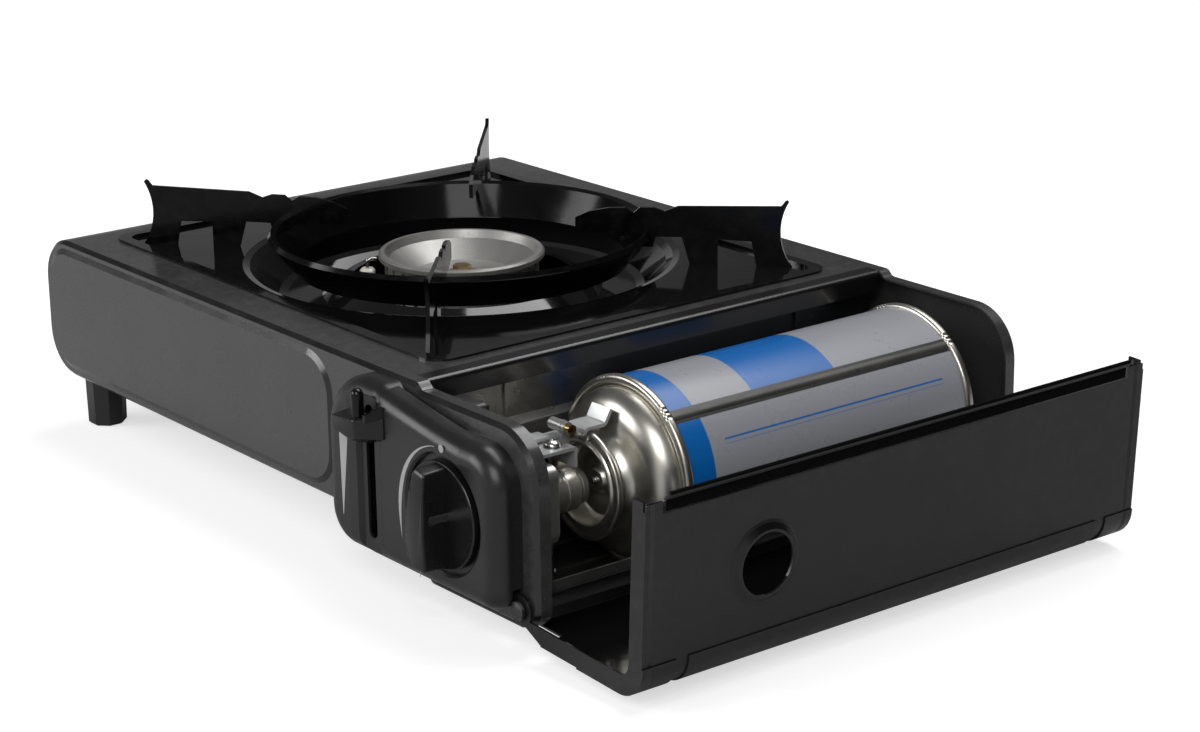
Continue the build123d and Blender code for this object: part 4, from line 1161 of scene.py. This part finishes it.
@dataclass(frozen=True)
class Hob(Assembly):
    """Drip tray, trivet and burner."""

    arm_bevel: float = 0.35

    def build(self) -> None:
        """Dresses the tray, the trivet and the burner."""
        self.shop.dress("drip_tray", ENAMEL, smooth=40.0)
        self.shop.dress("support_ring", TRIVET_ENAMEL, smooth=40.0)
        self.shop.dress("support_arms", TRIVET_ENAMEL, bevel=self.arm_bevel)
        self.shop.dress_all((CAST_ALUMINIUM, "burner_cup", "mixing_tube"), (BRASS, "burner_core"),
                            (ZINC, "burner_bracket"), (CERAMIC, "electrode_insulator"),
                            (STEEL, "electrode_wire"))


@dataclass(frozen=True)
class GasTrain(Assembly):
    """Regulator, pipe, jet, relief valve, igniter and lock.

    The nut's profile is (radius, y) round the gas axis, the screw's (radius, z), and the bracket's (y, z).
    """

    axis: Point2 = GAS_AXIS
    nut: Points = (
        (2.7, 30.6), (5.9, 30.6), (6.5, 30.0), (6.5, 28.2), (6.0, 27.8), (6.0, 27.2), (7.2, 26.9),
        (7.8, 26.0), (7.8, 21.2), (7.5, 20.9), (7.5, 20.3), (7.8, 20.0), (7.8, 15.4), (7.2, 14.9),
        (2.7, 14.9),
    )
    plate: Points = (
        (9.5, 58.6), (22.9, 58.6), (23.5, 58.3), (23.7, 57.7), (23.7, 51.2), (22.5, 51.2), (22.5, 57.2),
        (22.3, 57.4), (9.5, 57.4),
    )
    plate_x: Point2 = (264.9, 285.9)
    web_x: Point2 = (265.2, 283.0)
    web_y: Point2 = (13.7, 14.9)
    web_z: Point2 = (5.4, 57.5)
    web_radii: tuple[float, ...] = (0.5, 0.5, 3.0, 3.0)
    screw_spot: Point2 = (280.8, 17.0)
    screw: Points = (
        (0.05, 60.2), (0.8, 60.2), (1.1, 61.0), (1.9, 60.8), (2.7, 60.2), (3.1, 59.4), (3.2, 58.6),
        (0.05, 58.6),
    )
    pin_bevel: float = 0.4

    def bracket(self) -> None:
        """Folds the bracket's top plate and sets the web behind the nut, the web in the darker galvanised
        finish as painted shade.
        """
        rings = [[(x, y, z) for y, z in self.plate] for x in self.plate_x]
        self.shop.piece("bracket_plate", skin(rings), ZINC, "stove", "zinc_plate", ("regulator_bracket",))
        low, high = self.web_z
        left, right = self.web_x
        outline = rounded_outline([(left, low), (right, low), (right, high), (left, high)], self.web_radii)
        rings = [[(x, y, z) for x, z in outline] for y in self.web_y]
        # The web is the same zinc plate as the top; its darker galvanised finish is painted shade behind the
        # nut.
        self.shop.piece("bracket_web", skin(rings), GALVANISED, "stove", "zinc_plate")

    def build(self) -> None:
        """Dresses the pieces of the gas train."""
        self.shop.dress_all((DIE_CAST, "regulator_body", "relief_valve"), (STEEL, "screws", "valve_spindle"),
                            (BRASS, "gas_jet", "inlet_nozzle", "relief_tip"), (COPPER, "gas_pipe"),
                            (ZINC, "lock_hook", "lock_link", "lock_slider"),
                            (IGNITER_PLASTIC, "igniter_unit"))
        self.shop.dress("hinge_pins", BLACK_STEEL, bevel=self.pin_bevel)
        self.shop.dress("igniter_lead", SILICONE, smooth=60.0)
        nut = lathe(self.nut, round_y(self.axis), NUT_STEPS)
        self.shop.piece("union_nut", nut, NICKEL, "stove", "brass", ("regulator_nut",))
        self.bracket()
        screw = lathe(self.screw, round_z(self.screw_spot), SMALL_STEPS)
        self.shop.piece("bracket_screw", screw, STEEL, "stove", "steel", smooth=45.0)


@dataclass(frozen=True)
class ControlPanel(Assembly):
    """Moulded cover, knob, lever and the printed marks."""

    front: float = -25.5
    knob: Point2 = KNOB_CENTRE
    print_lift: float = 0.05
    shoulder_x: Point2 = (239.5, 285.0)
    shoulder_z: Point2 = (77.05, 70.43)
    shoulder_bend: float = 1.2
    shoulder_back: float = -16.4
    shoulder_face: float = -25.52
    shoulder_foot: float = 63.9
    shoulder_steps: int = 32
    shoulder_gap: float = 0.05
    roll: float = 7.0
    roll_steps: int = 12
    dot_spot: Point2 = (276.3, 66.2)
    dot_radius: float = 1.4
    dot_steps: int = 32
    arc_start: float = 97.0
    arc_sweep: float = 115.0
    arc_radius: float = 23.4
    arc_drift: float = 4.8
    arc_drift_power: int = 5
    arc_tip: float = 0.12
    arc_half: float = 0.95
    arc_half_power: float = 1.6
    arc_steps: int = 48
    wedge: Points = ((215.1, 57.0), (220.4, 57.0), (216.1, 26.3), (215.8, 26.3))
    tick: Points = ((262.4, 19.2), (262.9, 19.2), (261.9, 16.6), (261.6, 16.6))

    def shoulder(self) -> None:
        """Fills the cover's top edge to a nearly straight line beside the lever, rolled at its front."""
        start, end = self.shoulder_x
        high, low = self.shoulder_z
        rings = []
        for step in range(self.shoulder_steps + 1):
            share = step / self.shoulder_steps
            x = start + (end - start) * share
            top = low + (high - low) * (1 - share) ** self.shoulder_bend
            foot = min(self.shoulder_foot, top - self.roll - self.shoulder_gap)
            section = [(x, self.shoulder_back, foot), (x, self.shoulder_back, top)]
            for turn in range(self.roll_steps + 1):
                angle = math.pi / 2 * turn / self.roll_steps
                section.append((x, self.shoulder_face + self.roll * (1 - math.sin(angle)),
                                top - self.roll * (1 - math.cos(angle))))
            section.append((x, self.shoulder_face, foot))
            rings.append(section)
        self.shop.piece("cover_shoulder", skin(rings), COVER_PLASTIC, "stove", "black_plastic", smooth=50.0)

    def flat_mark(self, name: str, outline: Sequence[Point2]) -> None:
        """Lays a thin printed shape on the cover's face.

        Args:
            name: The mark's name.
            outline: Its outline in x and z.
        """
        rings = [[(x, self.front - lift, z) for x, z in outline] for lift in (0.0, self.print_lift)]
        self.shop.piece(name, skin(rings, cap_first=False), PRINT_WHITE, "stove", "black_plastic")

    def dial_arc(self) -> list[Point2]:
        """Draws the arc that swells from the dot down the knob's left side to a pointed tail.

        Returns:
            Its outline in x and z.
        """
        outer, inner = [], []
        place = round_y(self.knob)
        for step in range(self.arc_steps + 1):
            share = step / self.arc_steps
            angle = math.radians(self.arc_start + self.arc_sweep * share)
            middle = self.arc_radius + self.arc_drift * share ** self.arc_drift_power
            swell = math.sin(math.pi * share ** self.arc_half_power)
            half = self.arc_tip * (1 - share) + self.arc_half * swell
            for side, radius in ((outer, middle + half), (inner, middle - half)):
                x, _, z = place(radius, self.front, angle)
                side.append((x, z))
        return outer + inner[-2:0:-1]

    def build(self) -> None:
        """Dresses the panel and prints its marks."""
        self.shop.dress("control_cover", COVER_PLASTIC, smooth=40.0)
        self.shoulder()
        Knob(self.shop).build()
        Lever(self.shop).build()
        x, z = self.dot_spot
        dot = [(x + self.dot_radius * math.cos(angle), z + self.dot_radius * math.sin(angle))
               for angle in (2 * math.pi * step / self.dot_steps for step in range(self.dot_steps))]
        for name, outline in (("off_dot", dot), ("dial_arc", self.dial_arc()), ("lock_wedge", self.wedge),
                              ("spark_tick", self.tick)):
            self.flat_mark(name, outline)


@dataclass(frozen=True)
class Knob(Assembly):
    """Round disc with a lip and a pointer grip that narrows towards its top.

    The disc's profile is (radius, y), and the grip's corners are (x, z) from the knob's centre.
    """

    centre: Point2 = KNOB_CENTRE
    disc: Points = (
        (0.5, -23.7), (18.3, -23.7), (18.8, -24.2), (18.8, -25.9), (18.6, -26.2), (18.3, -26.3),
        (17.9, -26.2), (17.5, -25.8), (17.0, -25.6), (0.5, -25.6),
    )
    corners: Points = (
        (-2.2, 18.1), (3.8, 17.0), (2.9, 8.0), (2.3, -4.0), (2.9, -18.0), (-3.5, -18.2), (-7.8, -13.0),
        (-8.6, -4.0), (-5.0, 10.0),
    )
    radii: tuple[float, ...] = (1.5, 1.2, 8.0, 10.0, 1.5, 4.0, 5.0, 8.0, 12.0)
    levels: Points = ((-25.4, 1.03), (-34.2, 1.0), (-34.9, 0.985), (-35.3, 0.955), (-35.5, 0.91))
    balance: Point2 = (-2.0, -1.0)

    def build(self) -> None:
        """Turns the disc and lofts the grip on it."""
        disc = lathe(self.disc, round_y(self.centre), ROUND_STEPS)
        self.shop.piece("knob_disc", disc, GLOSS_PLASTIC, "knob", "black_plastic", ("control_knob",))
        outline = rounded_outline(self.corners, self.radii)
        middle_x, middle_z = self.balance
        rings = [[(self.centre[0] + middle_x + (x - middle_x) * size, along,
                   self.centre[1] + middle_z + (z - middle_z) * size) for x, z in outline]
                 for along, size in self.levels]
        self.shop.piece("knob_grip", skin(rings, cap_first=False), KNOB_PLASTIC, "knob", "black_plastic")


@dataclass(frozen=True)
class Lever(Assembly):
    """Lock lever: a block that widens towards the panel, a domed post and a slanted thumb fin.

    The block's corners are (x, z), the post's profile is (radius, z), and the fin's outline is (share, z).
    """

    front_corners: Points = ((221.9, 66.2), (235.6, 67.2), (235.9, 61.0), (233.6, 59.6), (221.9, 61.6))
    back_corners: Points = ((221.6, 66.8), (243.2, 68.6), (243.2, 60.6), (234.0, 57.2), (221.6, 58.6))
    block_radii: tuple[float, ...] = (0.8, 1.2, 0.8, 0.8, 0.8)
    block_levels: Points = ((-25.9, 0.0), (-32.3, 0.92), (-32.7, 0.985), (-32.9, 1.0))
    face_inset: float = 0.95
    post_spot: Point2 = (233.2, -29.4)
    post: Points = (
        (0.02, 77.4), (1.0, 77.2), (1.75, 76.6), (2.2, 75.7), (2.3, 74.6), (2.2, 73.4), (2.2, 66.0),
        (0.02, 66.0),
    )
    fin: Points = ((0.0, 66.9), (1.0, 68.0), (1.0, 72.2), (0.8, 71.9), (0.0, 69.6))
    fin_start: Point2 = (240.2, -31.2)
    fin_end: Point2 = (242.9, -25.7)
    fin_width: float = 1.3

    def block(self) -> list[list[Point3]]:
        """Rings of the block from the panel to its front face.

        Returns:
            The rings in millimetres.
        """
        back = rounded_outline(self.back_corners, self.block_radii)
        front = rounded_outline(self.front_corners, self.block_radii)
        middle_x = sum(x for x, _ in front) / len(front)
        middle_z = sum(z for _, z in front) / len(front)
        rings = []
        for along, share in self.block_levels:
            size = self.face_inset if share == 1.0 else 1.0
            ring = []
            for (back_x, back_z), (front_x, front_z) in zip(back, front):
                x = back_x + (front_x - back_x) * share
                z = back_z + (front_z - back_z) * share
                ring.append((middle_x + (x - middle_x) * size, along, middle_z + (z - middle_z) * size))
            rings.append(ring)
        return rings

    def build(self) -> None:
        """Lofts the block, turns the post and sets the fin."""
        block = skin(self.block())
        self.shop.piece("lever_block", block, GLOSS_PLASTIC, "lever", "black_plastic", ("lock_lever",),
                        smooth=30.0)
        post = lathe(self.post, round_z(self.post_spot), SMALL_STEPS)
        self.shop.piece("lever_post", post, SHADED_POST_PLASTIC, "lever", "black_plastic")
        across, along = (end - start for start, end in zip(self.fin_start, self.fin_end))
        rings = [[(self.fin_start[0] + across * share - side, self.fin_start[1] + along * share, height)
                  for share, height in self.fin] for side in (0.0, self.fin_width)]
        self.shop.piece("lever_fin", skin(rings), SHADED_POST_PLASTIC, "lever", "black_plastic")


@dataclass(frozen=True)
class Lid(Assembly):
    """Hinged cover of the cartridge compartment. Its face leans out by a share of the height."""

    face_x: float = 367.85
    lean: float = 0.0524
    sheet: Point2 = (0.05, 1.0)
    front_corner: Point2 = (-15.9, -6.0)
    back_corner: Point2 = (199.0, 208.9)
    corner_z: Point2 = (62.0, 70.6)
    corner_radius: float = 0.3

    def corner(self, name: str, ends: Point2) -> None:
        """Closes the sheet between the end flange and the top edge.

        Args:
            name: The plate's name.
            ends: Where it starts and ends along y.
        """
        start, end = ends
        low, high = self.corner_z
        corners = ((start, low), (end, low), (end, high), (start, high))
        outline = rounded_outline(corners, (self.corner_radius,) * 4, steps=3)
        rings = [[(self.face_x + self.lean * z - depth, y, z) for y, z in outline] for depth in self.sheet]
        self.shop.piece(name, skin(rings), LID_PAINT, "lid", "charcoal_paint")

    def build(self) -> None:
        """Dresses the lid and closes its corners."""
        self.shop.dress("lid_panel", LID_PAINT, smooth=40.0)
        self.corner("lid_front_corner", self.front_corner)
        self.corner("lid_back_corner", self.back_corner)


@dataclass(frozen=True)
class Cartridge(Assembly):
    """Gas cartridge: printed body with a side seam, drawn shoulder, seam rings, valve cup and base.

    Profiles are (radius, y) points round the cartridge's axis.
    """

    axis: Point2 = GAS_AXIS
    body_radius: float = 33.2
    front: float = 50.5
    back: float = 187.0
    wall: float = 0.9
    shoulder: Points = (
        (15.2, 36.9), (16.2, 38.6), (18.0, 40.5), (21.0, 42.0), (24.4, 43.1), (27.4, 44.9), (29.5, 47.4),
        (30.6, 50.2), (31.0, 52.4),
    )
    dish: Points = (
        (31.0, 185.2), (30.4, 183.6), (28.6, 182.4), (24.0, 181.4), (12.0, 180.0), (4.0, 179.7),
        (0.4, 179.6),
    )
    cup: Points = (
        (16.0, 37.6), (17.2, 36.0), (18.9, 34.9), (20.0, 33.6), (20.2, 32.6), (19.7, 31.9), (18.9, 31.7),
        (18.3, 32.1), (17.7, 32.7), (16.3, 32.7), (15.8, 32.0), (15.2, 31.7), (14.6, 32.0), (14.3, 33.0),
        (14.0, 37.0), (13.2, 39.2), (12.2, 39.9), (5.4, 39.9), (4.6, 39.2), (4.2, 38.0), (3.6, 37.6),
        (1.6, 37.6), (1.6, 38.5), (3.4, 38.8), (4.6, 40.8), (12.6, 40.8), (14.8, 38.4),
    )
    notch_half: float = 11.5
    notch_radius: float = 16.5
    notch_depth: float = 35.4
    ring_inner: float = 30.9
    ring_rise: float = 1.3
    ring_width: float = 3.2
    ring_radii: tuple[float, ...] = (1.4, 1.2, 1.0, 0.8)
    tick_groups: int = 6
    tick_turns: tuple[int, ...] = (2, 5, 8)
    tick_offset: float = 14.0
    tick_depth: float = 0.4
    seam_angle: float = 48.0
    seam_half: float = 2.8
    seam_gap: float = 3.4
    crown: Points = (
        (-1.0, -0.1), (-0.9, 0.10), (-0.5, 0.28), (0.0, 0.34), (0.5, 0.28), (0.9, 0.10), (1.0, -0.1),
    )

    def spot(self, radius: float, along: float, angle: float) -> Point3:
        """A point at a radius, a distance along y and an angle from +x towards +z."""
        return round_y(self.axis)(radius, along, angle)

    def notched(self, radius: float, along: float, angle: float) -> Point3:
        """Draws the cup's flange in where the bayonet notch is cut at the top.

        Args:
            radius: Distance from the cartridge's axis.
            along: Distance along y.
            angle: Turn from +x towards +z.

        Returns:
            The point.
        """
        aside = abs(math.degrees(angle) - 90)
        if aside < self.notch_half and along < self.notch_depth:
            radius = min(radius, self.notch_radius)
        return self.spot(radius, along, angle)

    def crimped(self, radius: float, along: float, angle: float) -> Point3:
        """Presses a seam ring in at groups of three crimp marks.

        Args:
            radius: Distance from the cartridge's axis.
            along: Distance along y.
            angle: Turn from +x towards +z.

        Returns:
            The point.
        """
        turn = (math.degrees(angle) + self.tick_offset) % (360 / self.tick_groups)
        if radius > self.body_radius and round(turn) in self.tick_turns:
            radius -= self.tick_depth
        return self.spot(radius, along, angle)

    def shell(self, name: str, points: Sequence[Point2], replaces: str) -> None:
        """Turns a thin drawn shell that follows a smooth profile.

        Args:
            name: The shell's name.
            points: Points on its outer face.
            replaces: The solid that it stands for.
        """
        outer = smooth_line(points)
        inward = self.wall if points[0][1] < self.front else -self.wall
        inner = [(radius, along + inward) for radius, along in reversed(outer)]
        mesh = lathe(outer + inner, self.spot, ROUND_STEPS)
        self.shop.piece(name, mesh, TINPLATE, "cartridge", "tinplate", (replaces,), smooth=50.0)

    def ring(self, name: str, front: float) -> None:
        """Rolls a seam ring with its crimp marks.

        Args:
            name: The ring's name.
            front: Where it starts along y.
        """
        inner, outer, back = self.ring_inner, self.body_radius + self.ring_rise, front + self.ring_width
        corners = [(inner, front), (outer, front), (outer, back), (inner, back)]
        mesh = lathe(rounded_outline(corners, self.ring_radii, steps=4), self.crimped, RING_STEPS)
        self.shop.piece(name, mesh, TINPLATE, "cartridge", "tinplate", smooth=50.0)

    def side_seam(self) -> None:
        """Lays the raised welded seam along the body."""
        rings = []
        for along in (self.front + self.seam_gap, self.back - self.seam_gap):
            ring = []
            for aside, rise in self.crown:
                angle = math.radians(self.seam_angle + aside * self.seam_half)
                ring.append(self.spot(self.body_radius + rise, along, angle))
            rings.append(ring)
        self.shop.piece("side_seam", skin(rings), SEAM_STEEL, "cartridge", "tinplate")

    def build(self) -> None:
        """Dresses the cartridge and turns its drawn ends."""
        self.shop.dress("can_body", CAN_PRINT)
        self.shop.dress("can_valve", STEEL)
        self.shell("drawn_shoulder", self.shoulder, "can_shoulder")
        self.shell("drawn_base", self.dish, "can_base")
        self.ring("front_seam", self.front)
        self.ring("base_seam", self.back - self.ring_width)
        cup = lathe(self.cup, self.notched, CUP_STEPS)
        self.shop.piece("rolled_cup", cup, TINPLATE, "cartridge", "tinplate", ("valve_cup",), smooth=50.0)
        self.side_seam()


def main() -> None:
    """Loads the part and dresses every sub-assembly."""
    logging.basicConfig(level=logging.INFO, format="%(name)s: %(message)s")
    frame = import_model()
    shop = Workshop(frame)
    Studio().build()
    for assembly in (Casing, Hob, GasTrain, ControlPanel, Lid, Cartridge):
        assembly(shop).build()
        LOG.info("finished %s", assembly.__name__)


if __name__ == "__main__":
    main()
